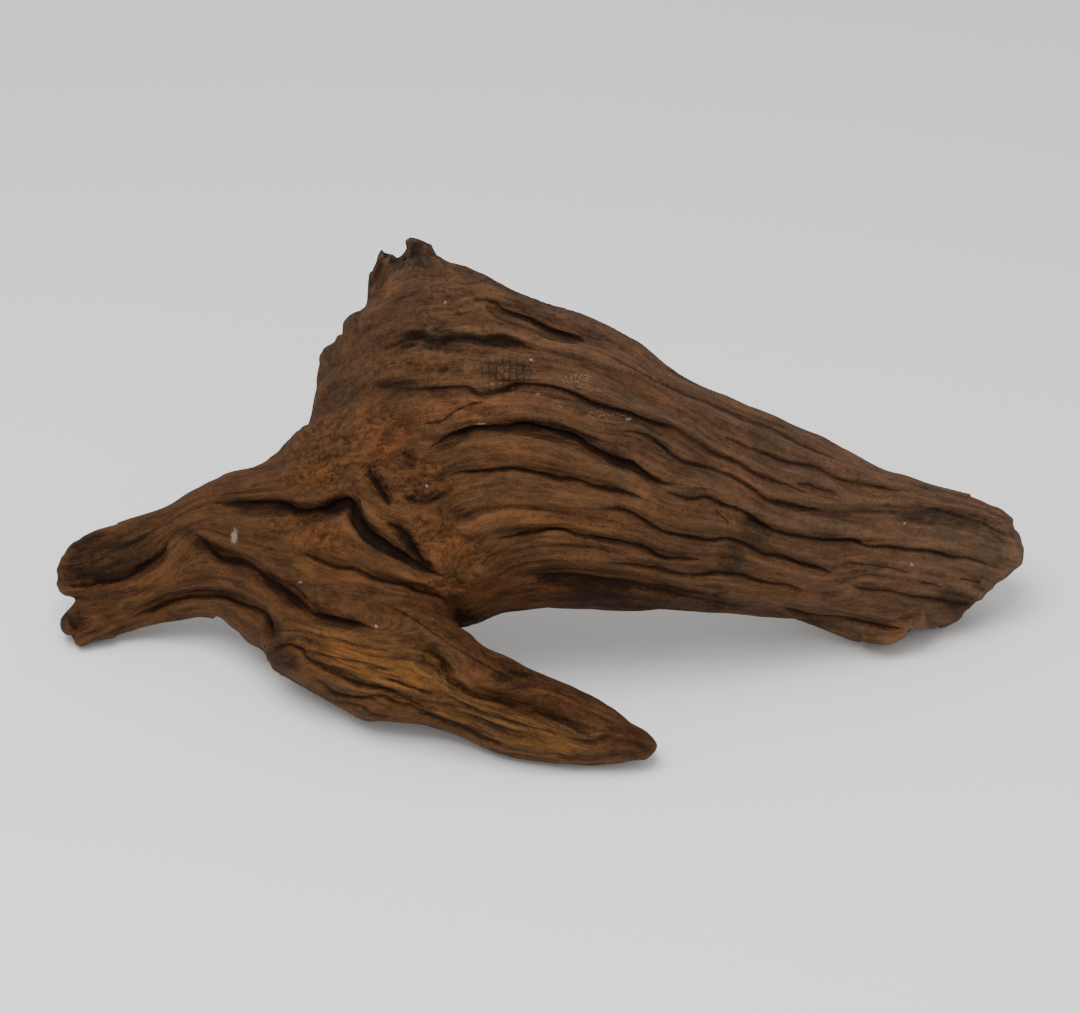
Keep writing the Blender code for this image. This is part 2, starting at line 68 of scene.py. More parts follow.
# Random order of the relief, and how squarely wood faces the eye where it starts and ends to count
# as face or as back
NOISE_SEED = 23
FRONT_TURN = (-0.25, 0.25)
BACK_TURN = (0.0, 0.4)

# Rounds of evening out along the skin's edges: for the solid's own grooves, for the grain's depth and
# turn, and for the fine, middling and broad hollows that the wood is shaded by
GROOVE_ROUNDS = 45
DEPTH_ROUNDS = 120
FACING_ROUNDS = 20
HOLLOW_ROUNDS = (3, 16, 90)

# Flutes, ridges and fibres: size across and along the grain, in millimetres
FLUTE_SIZE = (8.0, 80.0)
RIDGE_SIZE = (3.6, 50.0)
FIBRE_SIZE = (1.8, 26.0)
# Depth of the soft lumps, and of the thin ridges of the peak's ear
LUMP_DEPTH = 0.7
EAR_DEPTH = 0.6

# Wander of the drawn lines: size of its swells in u, w and d, and how far they push, in millimetres
WANDER = ((14.0, 9.0, 14.0, 1.1), (5.0, 3.0, 5.0, 0.4))
# Share of a drawn line over which either end runs out, and width of its ends and of its middle
LINE_TAPER = 0.16
LINE_WIDTHS = (0.4, 0.25)
# Steps of a drawn line that are measured together
STEPS_AT_ONCE = 6
# Distance to the nearest drawn line where there is none, in widths of its dark bottom
FAR = 9.0

# Marks along the grain: their width and length in millimetres, and their fineness
GRAIN_MARKS = {
    "bands": (6.0, 80.0, 2.0), "streaks": (2.2, 26.0, 2.0), "fibres": (0.9, 10.0, 3.0),
    "blotches": (3.6, 15.0, 3.0), "flecks": (0.7, 2.6, 2.0),
}
# Marks that run no way: how many to a millimetre, their fineness, roughness and distortion
LOOSE_MARKS = {
    "clouds": (0.045, 3.0, 0.55), "mottle": (0.30, 3.0, 0.65, 1.1), "pores": (1.5, 2.0, 0.6),
    "spots": (0.50, 2.0, 0.55),
}
# How far each mark lightens or darkens plain wood
MARK_LIGHT = {"bands": 0.4, "flecks": 0.5, "clouds": 0.45, "pores": 0.55}
PLAIN_LIGHT = 0.61
# Cracks to a millimetre across and along the grain on the checked patch, and how unevenly they lie
CHECKS = (0.33, 0.0, 0.36)
CHECK_UNEVENNESS = 0.38

# Studio: places and sizes of the two lights, and where they point, in metres
KEY_PLACE, KEY_SIZE = (-0.25, -0.55, 1.25), 0.9
FILL_PLACE, FILL_SIZE = (0.5, -1.3, 0.9), 0.8
LIT_POINT = (0.0, 0.0, 0.05)
FLOOR_DROP = 0.0004

# Lines of the broad face: grain height, width above, width below, depth, raised lip, then points u, w
FACE_LINES = {
    "shoulder_slot": (73, 2, 2.8, 5.5, 0.5, (
        (-23, 82.5), (-20, 82), (-14, 78.5), (-5, 75.5), (1, 72.5), (6, 70), (15, 68), (20, 66.5))),
    "slot_flute": (None, 1.2, 1.8, 1.6, 0.3, ((11, 76), (20, 71), (28, 68))),
    "upper_hollow": (64, 4.5, 2.2, 4.5, 0.7, (
        (-67, 64.5), (-60, 64), (-55, 67), (-50, 68), (-44, 66.5), (-40, 65.5), (-34, 67), (-28, 67),
        (-22, 66), (-15, 67), (-5, 64), (0, 62.5))),
    "hollow_shade": (None, 2.6, 2.6, 1.8, 0.2, ((-53, 56), (-44, 55), (-35, 56))),
    "middle_crease": (48, 2, 3.2, 3.2, 0.5, (
        (-63, 48.5), (-57, 48), (-50, 47.5), (-40, 48), (-30, 48), (-24, 46), (-20, 46), (-14, 47),
        (-9, 48.5), (0, 48.5), (8, 47), (14, 45), (20, 42), (28, 39.5), (36, 37.5), (40, 35.5), (48, 33),
        (55, 31), (62, 27), (68, 23), (74, 20), (80, 17.5), (87, 13), (94, 10.5), (100, 9), (108, 6),
        (115, 3.5))),
    "upper_flute": (60, 1.7, 2.8, 2.4, 0.4, (
        (70, 29.5), (78, 27), (84, 24), (90, 21.5), (98, 19), (106, 17), (112, 15.5), (117, 12.5),
        (122, 10.8), (130, 9), (140, 7.5), (149, 6.6))),
    "upper_flute_high": (None, 1.2, 1.8, 1.2, 0.3, ((76, 37), (84, 34), (94, 31.5))),
    "brow_flute": (None, 1.4, 2, 1.5, 0.3, ((25, 60), (31, 59), (34, 56), (40, 52.5), (48, 47), (55, 44))),
    "brow_long": (68, 1.4, 2.4, 1.4, 0.3, ((20, 65), (40, 54), (64, 43), (88, 33), (112, 22), (128, 15))),
    "thin_crack": (None, 0.9, 0.9, 1.6, 0.2, (
        (-49, 33), (-46, 33.5), (-40, 34.5), (-36, 37), (-30, 40.5), (-24, 42.5), (-20, 44))),
    "great_arch": (32, 1.6, 3.6, 6, 0.9, (
        (-47, 23), (-41, 26), (-35, 29), (-30, 31), (-26, 32), (-20, 32.5), (-13, 32.5), (-7, 33), (0, 32),
        (8, 30), (14, 28), (20, 24.5), (26, 21.5), (32, 19), (37, 17.5), (41, 14.5), (46, 11.5), (50, 10),
        (58, 8.5))),
    "arch_run": (None, 1.1, 2.2, 3.4, 0.5, (
        (44, 8.5), (50, 6.5), (55, 4.5), (60, 3.5), (66, 4.5), (70, 3), (75, 0.5), (80, -1.5), (85, -4.5),
        (90, -7), (95, -9.5), (104, -11.7), (112, -12.8), (125, -12.8), (130, -14.7), (140, -16),
        (147, -16.8), (152, -17.3), (158, -18), (165, -19.2), (170, -20), (175, -21.5), (180, -23.3),
        (187, -24.7))),
    "arch_split": (None, 0.8, 0.8, 1.6, 0.1, ((70, 0), (73, -3), (76, -6.5))),
    "shoulder_flute": (38, 1.5, 2.6, 3, 0.5, (
        (28, 31), (39, 30), (45, 28), (50, 24), (55, 20), (60, 17.5), (68, 16), (74, 14), (80, 11.5),
        (86, 7), (92, 3), (100, 1), (110, -0.5), (118, -2))),
    "end_hollow": (38, 2, 2, 2.2, 0.4, (
        (118, -2), (125, -2.5), (133, -1.2), (140, -2.2), (145, -2.5), (150, -1.8), (157, -1.8),
        (163, -2.5), (168, -3.4), (173, -3.8), (177, -5.5), (180, -8), (185, -10))),
    "shoulder_thread": (None, 1.2, 1.8, 1.5, 0.3, ((102, 10.5), (107, 9.2), (113, 6.8), (120, 5.5))),
    "second_arch": (13, 1.2, 2.6, 4, 0.7, (
        (-37, 10.5), (-34, 14), (-28, 14.7), (-22, 15.3), (-15, 15.5), (-10, 15.7), (-4, 14.7), (1, 13.5),
        (8, 12), (15, 11), (20, 9.5), (28, 7.5), (34, 6), (40, 4), (46, 2))),
    "knob_pocket": (None, 2, 2, 2.8, 0.5, (
        (-54.4, 6.2), (-51.2, 3.8), (-44.8, 2.2), (-39.2, 4.2), (-34.4, 7.4))),
    "third_flute": (3, 1.3, 2.5, 3, 0.5, (
        (20, -0.5), (28, 0), (33, -1), (38, -3), (42, -5), (46, -7.7), (50, -9.8), (55, -10.7), (60, -11.7),
        (68, -12.8), (75, -12.4), (80, -14), (85, -16), (90, -18), (97, -19.5), (104, -22), (108, -23),
        (112, -24), (117, -26), (122, -27))),
    "fourth_flute": (-9, 1.1, 2.3, 3.4, 0.5, (
        (-20, -12), (-12, -11.5), (-8, -10.3), (0, -9.6), (3, -8.6), (8, -8.8), (12, -10), (16, -11),
        (22, -11.8), (30, -13), (35, -14), (41, -15.3), (45, -17), (50, -19.3), (55, -20), (60, -20.6),
        (68, -21.9))),
    "fifth_flute": (-18, 1.1, 2.1, 3, 0.4, (
        (23, -20.5), (30, -22), (38, -23), (45, -24), (50, -25), (55, -26.3), (60, -26.7), (65, -26.8),
        (68, -26), (73, -25.8), (80, -26.8), (87, -28.5), (92, -29.8), (98, -31), (104, -33), (110, -35))),
    "sixth_flute": (None, 0.9, 1.4, 1.4, 0.3, ((5, -15), (15, -16), (23, -16), (31, -18.7))),
    "seventh_flute": (None, 1, 1.6, 1.8, 0.3, (
        (38, -29.5), (50, -31.5), (58, -33.5), (70, -34.5), (78, -34.5))),
    "belly_edge": (-27, 1.5, 5, 3, 0.4, (
        (-8, -27), (4, -26.5), (10, -26), (20, -27.5), (30, -29), (38, -30), (50, -33), (60, -36),
        (70, -38), (84, -40))),
    "neck_fold": (-1, 2, 3, 5, 0.7, (
        (-134, 1.8), (-125, 1.5), (-117, 1.2), (-110, 1.5), (-104, 0.8), (-100, 0), (-97, -1.5), (-93, -2),
        (-88, -1.5), (-84, 0), (-80, 2.5), (-76, 3.3), (-74, 0), (-73, -4), (-70, -8), (-66, -11),
        (-62, -13.5), (-58, -17), (-53, -20), (-50, -22), (-46, -25), (-40, -27), (-33, -28.5))),
    "fold_heart": (None, 3, 3.4, 4, 0.3, ((-76, -2), (-73, -7), (-69, -12), (-64, -15.5), (-57, -18.5))),
    "fold_branch": (None, 2, 2.2, 4, 0.5, (
        (-62, -6.5), (-57, -8), (-54, -11.5), (-52, -14), (-50, -18), (-46.5, -23))),
    "neck_pit": (None, 2, 2, 4, 0.6, ((-69, 17.5), (-68, 13), (-66, 10), (-64, 7), (-61.5, 4), (-60, 0))),
    "small_pit": (None, 1.9, 1.9, 1.8, 0.3, ((-65, 26), (-62, 23))),
    "curved_pit": (None, 1.6, 1.6, 1.8, 0.3, ((-59, 20), (-54, 21), (-50.5, 18))),
    "cheek_line": (-22, 1.8, 2.3, 2.6, 0.4, (
        (-97, -17), (-90, -20), (-86, -22), (-82, -24), (-77, -24.5), (-73, -25), (-70, -26.5),
        (-66, -28.5), (-60, -30), (-54, -31), (-50, -33), (-44, -35), (-38, -38), (-36, -43))),
    "sweep": (-32, 2, 4.4, 5, 0.7, (
        (-141, -8.5), (-135, -13), (-131, -17), (-127, -20), (-120, -21.5), (-116, -23), (-112, -26),
        (-107, -29.5), (-103, -32), (-99, -35), (-95, -38), (-92, -41), (-88, -43), (-84, -44.5),
        (-78, -46), (-72, -46.5), (-64, -49))),
    "lower_sweep": (-50, 1.6, 3.2, 4.2, 0.6, (
        (-165, -44.5), (-157, -41), (-150, -38), (-146, -36.8), (-140, -35.5), (-135, -35.2), (-130, -35),
        (-125, -36), (-120, -37.7), (-115, -40), (-111, -42), (-108, -45), (-107, -49), (-107, -54))),
    "lobe_line": (None, 0.9, 1.1, 1.1, 0.2, ((-152, -42), (-140, -41), (-130, -41), (-120, -41.5))),
    "lobe_thread": (None, 0.9, 1.2, 1.3, 0.2, ((-110, -39), (-104, -43), (-98, -44.5))),
    "facet_edge": (-20, 3, 1.2, 3.5, 0.5, (
        (-190, -31), (-185, -32), (-179, -31), (-177, -30), (-172, -30), (-168, -29.5), (-163, -27),
        (-159, -24.5), (-155, -22), (-152, -19), (-150, -16), (-149, -11.5))),
    "facet_crack": (None, 0.8, 0.8, 1.6, 0.2, ((-171, -10.5), (-168, -12.5), (-164, -14))),
    "end_pocket": (None, 2.6, 2.6, 3, 0.3, ((-190, -42), (-187, -46), (-185.5, -50))),
    "end_notch": (None, 1.5, 1.5, 1.8, 0.3, ((-183, -50.5), (-177, -48.3))),
    "limb_step": (-62, 5, 1.2, 4.4, 0.9, (
        (-57, -55.5), (-53, -57), (-47, -59), (-41, -61.5), (-39, -64), (-37, -66), (-36, -70), (-33, -72),
        (-28, -75), (-22, -76.5), (-15, -78), (-8, -80.5), (-2, -82.5), (5, -84.5), (12, -87.5), (18, -91),
        (21, -94), (22, -99))),
    "limb_seam": (-68, 1.4, 2.4, 3.4, 0.5, (
        (-111, -56), (-104, -55.5), (-100, -55), (-96, -57), (-93, -60), (-90, -62), (-85, -65),
        (-78, -67.5), (-70, -71), (-62, -73.5), (-54, -77), (-46, -80.5), (-38, -83.5))),
    "limb_tear": (-77, 1.4, 2.2, 3.6, 0.5, (
        (-94, -67.5), (-87, -71), (-82, -74), (-76, -75.5), (-70, -76), (-63, -76), (-58, -78), (-52, -80),
        (-44, -83.5), (-36, -86.5), (-28, -89.5), (-20, -93), (-10, -96.5))),
    "tear_high": (None, 0.9, 1.5, 1.5, 0.3, (
        (-97, -57), (-90, -58.5), (-80, -60.5), (-70, -62.5), (-58, -66))),
    "tear_fine": (None, 0.8, 1.2, 1.4, 0.3, ((-63, -68.5), (-50, -72.5), (-42, -75.5))),
    "tear_low": (None, 0.9, 1.4, 1.5, 0.3, (
        (-42, -73.5), (-30, -79), (-20, -83), (-10, -86), (0, -88.5), (10, -91))),
    "tear_under": (None, 1.2, 1.6, 2.2, 0.3, ((-82, -77), (-72, -80), (-66, -82.7), (-58, -83.5))),
    "channel_thread": (None, 1, 1.5, 1.2, 0.2, ((-66, -37), (-52, -43), (-40, -52), (-24, -62), (-8, -70))),
    "end_thread": (None, 0.9, 1.3, 1.3, 0.2, (
        (121, -22.3), (130, -22.8), (138, -24), (143, -25), (151, -26))),
    "end_flute": (-22, 1, 1.9, 2.2, 0.4, (
        (123, -29), (127, -31.5), (130, -32.3), (137, -33), (143, -34), (150, -35.6), (157, -36.5),
        (165, -37.8), (173, -38.8))),
    "end_crack": (None, 0.9, 1, 2.6, 0.2, (
        (167, -28), (169, -28.7), (171, -29.2), (174, -30), (177, -30.4))),
    "end_short": (None, 0.8, 1.1, 1.1, 0.2, ((151, -29.7), (157, -31), (162, -32.5))),
    "end_high": (None, 0.9, 1.4, 1.4, 0.3, (
        (158, -13.5), (165, -15), (175, -15), (180, -15.8), (188, -17))),
    "foot_line": (-33, 1.2, 2.4, 3.6, 0.6, (
        (94, -39.5), (104, -41.8), (110, -43), (118, -44), (125, -44.8), (130, -46), (138, -47.5),
        (147, -49))),
}

# Where the grain runs, besides along those lines: its height at the line's two ends, then points u, w
GRAIN_LINES = (
    (98, 79, ((-46, 102), (-32, 96.5), (-16, 87), (0, 79))),
    (79, 79, (
        (0, 79), (16, 74.5), (28, 69.5), (40, 65.5), (52, 55.5), (64, 48), (88, 38.2), (112, 28.2),
        (136, 15.4), (156, 9), (172, 5), (188, -2))),
    (-40, -40, (
        (-20, -42), (16, -39.8), (40, -41.5), (64, -42), (88, -44), (112, -47), (146, -54), (172, -42))),
    (18, 34, (
        (-190, -20), (-168, -8), (-152, -2.5), (-136, 8), (-126, 13), (-116, 15), (-104, 21), (-96, 30))),
    (-58, -62, ((-186, -54), (-168, -50), (-152, -45), (-128, -43), (-116, -55), (-108, -60))),
    (-36, -40, ((-100, -31), (-85, -35), (-64, -37), (-47, -38), (-39, -45))),
    (-44, -50, ((-33, -48), (-24, -55.5), (0, -66), (16, -72.5), (32, -83), (42, -91.5))),
    (-88, -92, (
        (-107, -66), (-96, -71), (-80, -79.5), (-70, -85), (-48, -86), (-32, -91), (-16, -98), (0, -101.5),
        (16, -103), (36, -102))),
    (60, 100, ((-94, 30), (-90, 42), (-84, 64), (-72, 80), (-64, 95))),
    (-36, -60, ((-60, -51.5), (-52, -55), (-41, -62), (-28, -70), (-10, -79), (8, -88), (24, -98))),
    (-58, -68, ((-100, -51), (-80, -56), (-60, -64), (-40, -72), (-20, -80), (4, -92), (20, -100))),
)
GRAIN_CELL = 2.5
GRAIN_ROUNDS = 900
GRAIN_SMOOTHING = 4
MIDDLE_ROUNDS = 8
MIDDLE_SHARE = 0.8
GRID_U = np.arange(-206.0, 207.0, GRAIN_CELL)
GRID_W = np.arange(-114.0, 120.0, GRAIN_CELL)

# Lines of the back, in the same terms
BACK_LINES = {
    "back_spine": (None, 2.4, 4, 4, 0.6, (
        (-60, 60), (-36, 52), (-8, 44), (24, 36), (60, 22), (96, 6), (130, -8), (168, -16))),
    "back_low": (None, 2.4, 3.6, 3.6, 0.6, (
        (-130, -14), (-96, -10), (-60, 4), (-20, 10), (20, 2), (64, -10), (110, -22))),
    "back_high": (None, 1.8, 3.2, 3, 0.5, ((-44, 84), (-16, 72), (16, 60), (52, 44), (84, 30))),
    "back_hollow": (None, 3, 4, 3.4, 0.5, ((-100, -36), (-76, -24), (-44, -18), (-10, -20), (24, -22))),
}

# Edges that no wood reaches past, clockwise as seen: peak, root's end, branch's end, limb's root
TRIM_LINES = (
    ((-79.2, 69), (-79, 72), (-78.6, 74.2), (-76.5, 76.7), (-74, 78.2), (-71, 79.1), (-70, 80.4),
     (-69.3, 82.2), (-69, 86), (-68.8, 90), (-68.4, 93.6), (-67.2, 94.6), (-66.5, 96.2), (-65.4, 98.5),
     (-65.1, 100.2), (-63.9, 102.7), (-63, 103), (-62.5, 102), (-62.3, 99.5), (-61, 100.3), (-59.9, 101.6),
     (-58.8, 101.2), (-57.4, 100), (-56.4, 99.9), (-55.6, 101.2), (-54.3, 102.3), (-53.4, 103.4),
     (-53.9, 106.6), (-52.5, 108), (-50, 107.8), (-47.5, 107), (-45, 105.8), (-43, 105), (-42.2, 102.7),
     (-40, 100.4), (-36.3, 98.2), (-34, 97.7), (-30, 96.6)),
    ((172, 4.6), (177, 2.6), (180, 1.1), (184, -0.3), (187, -2.5), (189.3, -4.6), (189.3, -6.5),
     (189, -7.8), (191, -9.6), (192.5, -12), (192.8, -14), (193.6, -16.4), (193.5, -19), (193, -22.6),
     (190.4, -25), (188, -26.9), (186, -28.6), (182.5, -30.6), (181, -32.6), (179, -34), (177.5, -35.9),
     (176.5, -37), (173, -38.4), (172.3, -40), (170, -41.6), (168.5, -44), (167, -45.4), (164, -47),
     (160, -48.4), (155, -48.5), (150, -48.5), (147.5, -49), (146.6, -50.4), (146, -52), (144, -53.1),
     (141.5, -54.4), (138, -54.9), (132, -54.3), (128, -53.4)),
    ((-166, -50.9), (-170, -52.4), (-174, -52.8), (-178, -53.6), (-182, -55.1), (-183.5, -55.5),
     (-185.1, -55.2), (-186.2, -54.1), (-185.8, -52.6), (-186.2, -51.4), (-189.4, -50.9), (-191, -49.7),
     (-192.2, -48.1), (-192.3, -46), (-191.1, -43.6), (-189, -41.1), (-187.2, -39.2), (-186, -37.3),
     (-186.4, -36.3), (-188, -35.7), (-190, -35.3), (-191.6, -34.3), (-193.2, -32.4), (-193.9, -30.8),
     (-193.2, -29.4), (-193, -27.5), (-193.4, -25), (-192.5, -22.6), (-191.6, -20.2), (-190.6, -18.6),
     (-189, -16.2), (-186, -13.3), (-181, -10.3), (-175, -8.2), (-169, -6.6)),
    ((-104, -67), (-107.6, -64), (-109, -61.5), (-109.5, -59.5), (-110.4, -58), (-112.2, -56.4),
     (-115.2, -55), (-117.6, -53.4), (-120, -50.5), (-122, -48.9), (-124.2, -47.3), (-127.2, -44.5),
     (-130, -43.3)),
)
TRIM_REACH = 4.5

# Lines that only shade the wood, without a dark bottom
SOFT_LINES = (
    "limb_step", "hollow_shade", "upper_hollow", "fold_heart", "end_pocket", "end_notch", "small_pit",
    "curved_pit", "neck_pit", "knob_pocket", "shoulder_slot", "slot_flute", "end_hollow", "lobe_line",
    "facet_crack", "brow_flute", "end_high", "lobe_thread", "upper_flute_high",
)

# Soft regions of the face, for relief and for colour: middle u, w, half length, half width, turn in
# degrees, and a strength where it is under 1
# Knobbly burl
BURL = (
    (-76, 22, 30, 20, 20), (-94, -10, 20, 7, -18), (-40, -12, 17, 10, -20), (-50, 10, 14, 12, 0),
    (-34, -26, 14, 10, 30), (-46, 57, 26, 8, 0, 0.5), (-72, 60, 12, 20, 10, 0.4), (-10, 54, 14, 7, 0, 0.5),
    (-40, 38, 22, 6, 0, 0.6), (-30, 78, 18, 8, -30, 0.3),
)
# Torn fibres of the front limb
TORN = ((-62, -68, 44, 13, -24), (-16, -89, 38, 10, -16))
# Greyed wood, and a painted soft grey shadow below the trunk's middle
GREY = (
    (-80, 52, 8, 26, 12), (-172, -21, 21, 9, 12), (-50, 100, 14, 9, 0), (-40, 68, 26, 5, 0),
    (78, -20, 7, 7, 0), (88, -10, 8, 6, 0), (150, -3, 26, 3.5, -4), (160, -20, 22, 7, -12),
    (-14, 53, 12, 8, 0), (-6, -20, 12, 6, 10), (-98, 26, 12, 5, 40), (-66, -14, 9, 3, -40),
    (-178, -38, 12, 5, 20), (170, -22, 26, 17, -14, 0.7), (-2, 84, 36, 4, -24, 0.6),
)
# Painted shade in hollows and shaded places such as the belly's underside and the limb's channel, and some
# darker wood
SHADE_AND_DARK_WOOD = (
    (36, -36, 48, 6, -4), (-172, -21, 22, 10, 12), (-187, -46, 7, 6, 0), (-112, -28, 20, 4, -28),
    (-46, -56, 12, 6, -34, 0.4), (-4, -73, 36, 6, -28), (34, -93, 12, 8, -20), (-104, -62, 8, 6, 0),
    (-50, 101, 12, 8, 0), (-45, 67, 24, 4.5, 2), (26, 22, 16, 4, -28), (-8, 33, 24, 3, 0),
    (-34, 28, 10, 3, 28), (-110, 1, 24, 2.6, 0), (-66, 93, 5, 7, 0), (-6, -22, 16, 6, -6),
    (-53, 34, 7, 3, 15), (-61, 28, 7, 2.4, 62), (-53, 20, 5, 4, -40), (-42, 57, 12, 3, 0, 0.35),
    (-57, 49, 8, 3, 0), (4, 74, 22, 4, -24), (158, -3, 32, 4, -4), (-30, -3, 6, 2.5, -20),
    (-12, 54, 9, 5, 0), (-135, -14, 12, 3, -32), (-168, -34, 16, 2.5, 6), (86, -9, 6, 8, 20),
    (76, -20, 6, 6, 0), (170, -40, 12, 7, -24), (-107, -50, 4, 7, 10),
)
# Pits of the face and other places that are almost black: mostly painted deep shade, in the pits and under
# the belly
PITS = (
    (-82, 0.5, 8, 3.4, 8), (-73.5, -2.5, 7, 4, -58), (-66.5, -12.5, 8, 3.8, -46), (-57, -18.5, 6, 2.6, -18),
    (-53, -13, 8, 3.2, -52), (-46, -22, 6, 2.2, -45), (-63.5, 8, 9, 2.4, -62, 0.5),
    (-46.5, 4, 8, 2.6, 8, 0.5), (-172, -21, 21, 9, 12, 0.85), (-182, -14, 8, 4, 30, 0.6),
    (-104, -61, 8, 6, 0, 0.6), (32, -37, 36, 5, -6, 0.75), (94, -42.5, 26, 2.5, -10, 0.6),
    (-30, -43, 6, 3, -16), (20, -31.5, 24, 3.6, -8), (-186, -45, 4, 4, 20), (-20, 66.5, 16, 2.6, -4),
    (-50, 67, 8, 2.6, 30, 0.8), (3, 72, 12, 2.2, -26, 0.8), (26, 23, 12, 2.2, -30, 0.6),
    (-104, -33, 12, 3, -42),
)
# Warmer, brighter wood of the face
AMBER = (
    (-50, 38, 12, 5, -5), (-26, 40, 10, 5, 0), (22, 53, 5, 3, 0), (44, 46, 16, 3, -27),
    (-62, 28, 14, 8, 20), (3, 53, 5, 3, 0), (-12, 42.5, 14, 3.5, 5), (-84, -14, 12, 5, -20),
    (-30, 78, 14, 5, -10, 0.6), (138, -50, 12, 4, -12, 0.7), (-92, 12, 14, 6, 20), (-82, -26, 16, 5, -16),
    (-36, -15, 9, 6, -40), (-24, -30, 9, 7, 0), (-18, 24, 22, 5, 0), (6, 20, 22, 4, -12),
    (10, -4, 24, 5, -8), (100, -33, 14, 3, -12), (-84, -38, 14, 4, -10), (-6, -33, 8, 3, 0),
    (-68, -62, 22, 7, -24), (-92, -12, 12, 5, -10),
)
# Pale splinters and edges of torn wood, and a painted highlight along the edge of the limb's torn step
PALE_SPLINTERS_AND_HIGHLIGHT = (
    (-50, -57.6, 4.5, 0.9, -14), (-43.5, -60.2, 4, 0.9, -30), (-60, -51, 5, 0.8, -62),
    (-94, -24, 6, 2.4, -40, 0.6), (-57, -66, 10, 1.4, -24, 0.4), (-38, -70, 4, 1.2, -70, 0.5),
    (-73, -60, 12, 1.4, -20, 0.3),
)
# The patch with square cracks
CHECKED = ((-13.5, 53, 12, 9, 0),)
# Fine ridges of the peak's ear
EAR = ((-50, 100, 14, 12, 0),)

# Broken ends with a sharper outline than the solid's: middle depth, half thickness, how much they dome,
# then outline u, w
BROKEN_ENDS = {
    "limb_tip": (41, 6, 0.15, (
        (22, -80), (28.2, -80), (31.3, -82.3), (34.5, -84.8), (38.5, -87.2), (42.5, -89.6), (45.2, -91.9),
        (46.5, -93.2), (47.3, -94.4), (47.4, -95.6), (46.6, -96.8), (45.4, -98), (44, -99.3),
        (42.2, -100.4), (34, -100.8), (24, -98))),
    "ear": (2, 6, 0.12, (
        (-58, 95), (-56.3, 100), (-54.4, 102.2), (-53.4, 103.4), (-53.9, 106.6), (-52.4, 108.1),
        (-50, 107.9), (-47.4, 107.1), (-45, 105.9), (-43, 105.1), (-42.2, 102.7), (-40, 100.5),
        (-36.3, 98.2), (-38, 92))),
    "tooth": (-6, 3.6, 0.15, (
        (-68.4, 88), (-68.3, 93.5), (-66.5, 96.2), (-65.3, 100), (-63.9, 102.7), (-62.6, 102.8),
        (-62.3, 99.6), (-60, 96), (-60, 88))),
    "low_tooth": (-4, 5, 0.15, (
        (-64, 92), (-62.5, 99.3), (-61, 100.3), (-59.9, 101.6), (-58.8, 101.2), (-57.4, 100), (-55, 99.6),
        (-52, 93))),
    "upper_branch_tip": (-38, 8.5, 0.3, (
        (-172, -9.5), (-181, -10.8), (-186, -13.6), (-189, -16.4), (-190.6, -18.6), (-191.6, -20.2),
        (-192.5, -22.6), (-193.4, -25), (-193, -27.5), (-193.2, -29.4), (-193.9, -30.8), (-193.2, -32.4),
        (-191.6, -34.3), (-190, -35.3), (-188, -35.7), (-186.4, -36.4), (-180, -34.5), (-175, -30))),
    "lower_branch_tip": (-35, 7, 0.28, (
        (-172, -41), (-186.8, -39.6), (-189, -41.1), (-191.1, -43.6), (-192.3, -46), (-192.2, -48.1),
        (-191, -49.7), (-189.4, -50.9), (-186.2, -51.4), (-185.8, -52.6), (-186.2, -54.1), (-185.1, -55.2),
        (-183.5, -55.5), (-181.5, -55.1), (-178, -53.5), (-174, -52.7), (-170, -52.3), (-166, -47))),
    "root_end": (-45, 15, 0.2, (
        (160, 6), (177, 2.7), (180, 1.2), (184, -0.2), (187.1, -2.4), (189.5, -4.6), (189.5, -6.5),
        (189.2, -7.8), (191.2, -9.6), (192.7, -12), (192.9, -14), (193.8, -16.4), (193.6, -19.2),
        (193.1, -22.8), (190.5, -25.2), (188, -27), (186, -28.8), (182.6, -30.7), (181, -32.7),
        (179, -34.2), (177.6, -36), (176.5, -37.2), (173, -38.5), (172.3, -40.2), (170, -41.7),
        (168.5, -44.2), (167, -45.6), (164, -47.2), (160, -48.5), (152, -40))),
    "root_foot": (-28, 9, 0.15, (
        (126, -46), (128, -53.4), (132, -54.4), (138, -55), (141.5, -54.5), (144, -53.1), (146.1, -52),
        (146.7, -50.4), (147.6, -49.1), (150, -48.6), (156, -48.6), (156, -42))),
}


def smooth_step(low, high, value):
    """0 below low, 1 above high, and a smooth rise between."""
    t = np.clip((value - low) / (high - low), 0.0, 1.0)
    return t * t * (3.0 - 2.0 * t)


def smooth_line(points, steps=6):
    """A Catmull-Rom curve through the points, as many short steps."""
    p = np.array(points, float)
    p = np.vstack([2 * p[0] - p[1], p, 2 * p[-1] - p[-2]])
    t = np.linspace(0.0, 1.0, steps, endpoint=False)[:, None]
    spans = []
    for a, b, c, d in zip(p, p[1:], p[2:], p[3:]):
        bend = (2 * a - 5 * b + 4 * c - d) * t ** 2 + (3 * b - a - 3 * c + d) * t ** 3
        spans.append(0.5 * (2 * b + (c - a) * t + bend))
    return np.vstack([*spans, p[-2:-1]])


class GradientNoise:
    """Smooth random swells in space, the same on each run."""

    def __init__(self, seed):
        rng = np.random.default_rng(seed)
        self.order = np.tile(rng.permutation(256), 3)
        slopes = rng.normal(size=(256, 3))
        self.slopes = slopes / np.linalg.norm(slopes, axis=1)[:, None]

    def __call__(self, x, y, z):
        points = np.column_stack([x, y, z])
        cell = np.floor(points).astype(int)
        inside = points - cell
        ease = inside ** 3 * (inside * (inside * 6 - 15) + 10)
        total = np.zeros(len(points))
        for corner in np.ndindex(2, 2, 2):
            at = (cell + corner) & 255
            key = self.order[self.order[self.order[at[:, 0]] + at[:, 1]] + at[:, 2]]
            share = np.prod(np.where(np.array(corner) == 1, ease, 1.0 - ease), axis=1)
            total += share * (self.slopes[key] * (inside - corner)).sum(1)
        return total


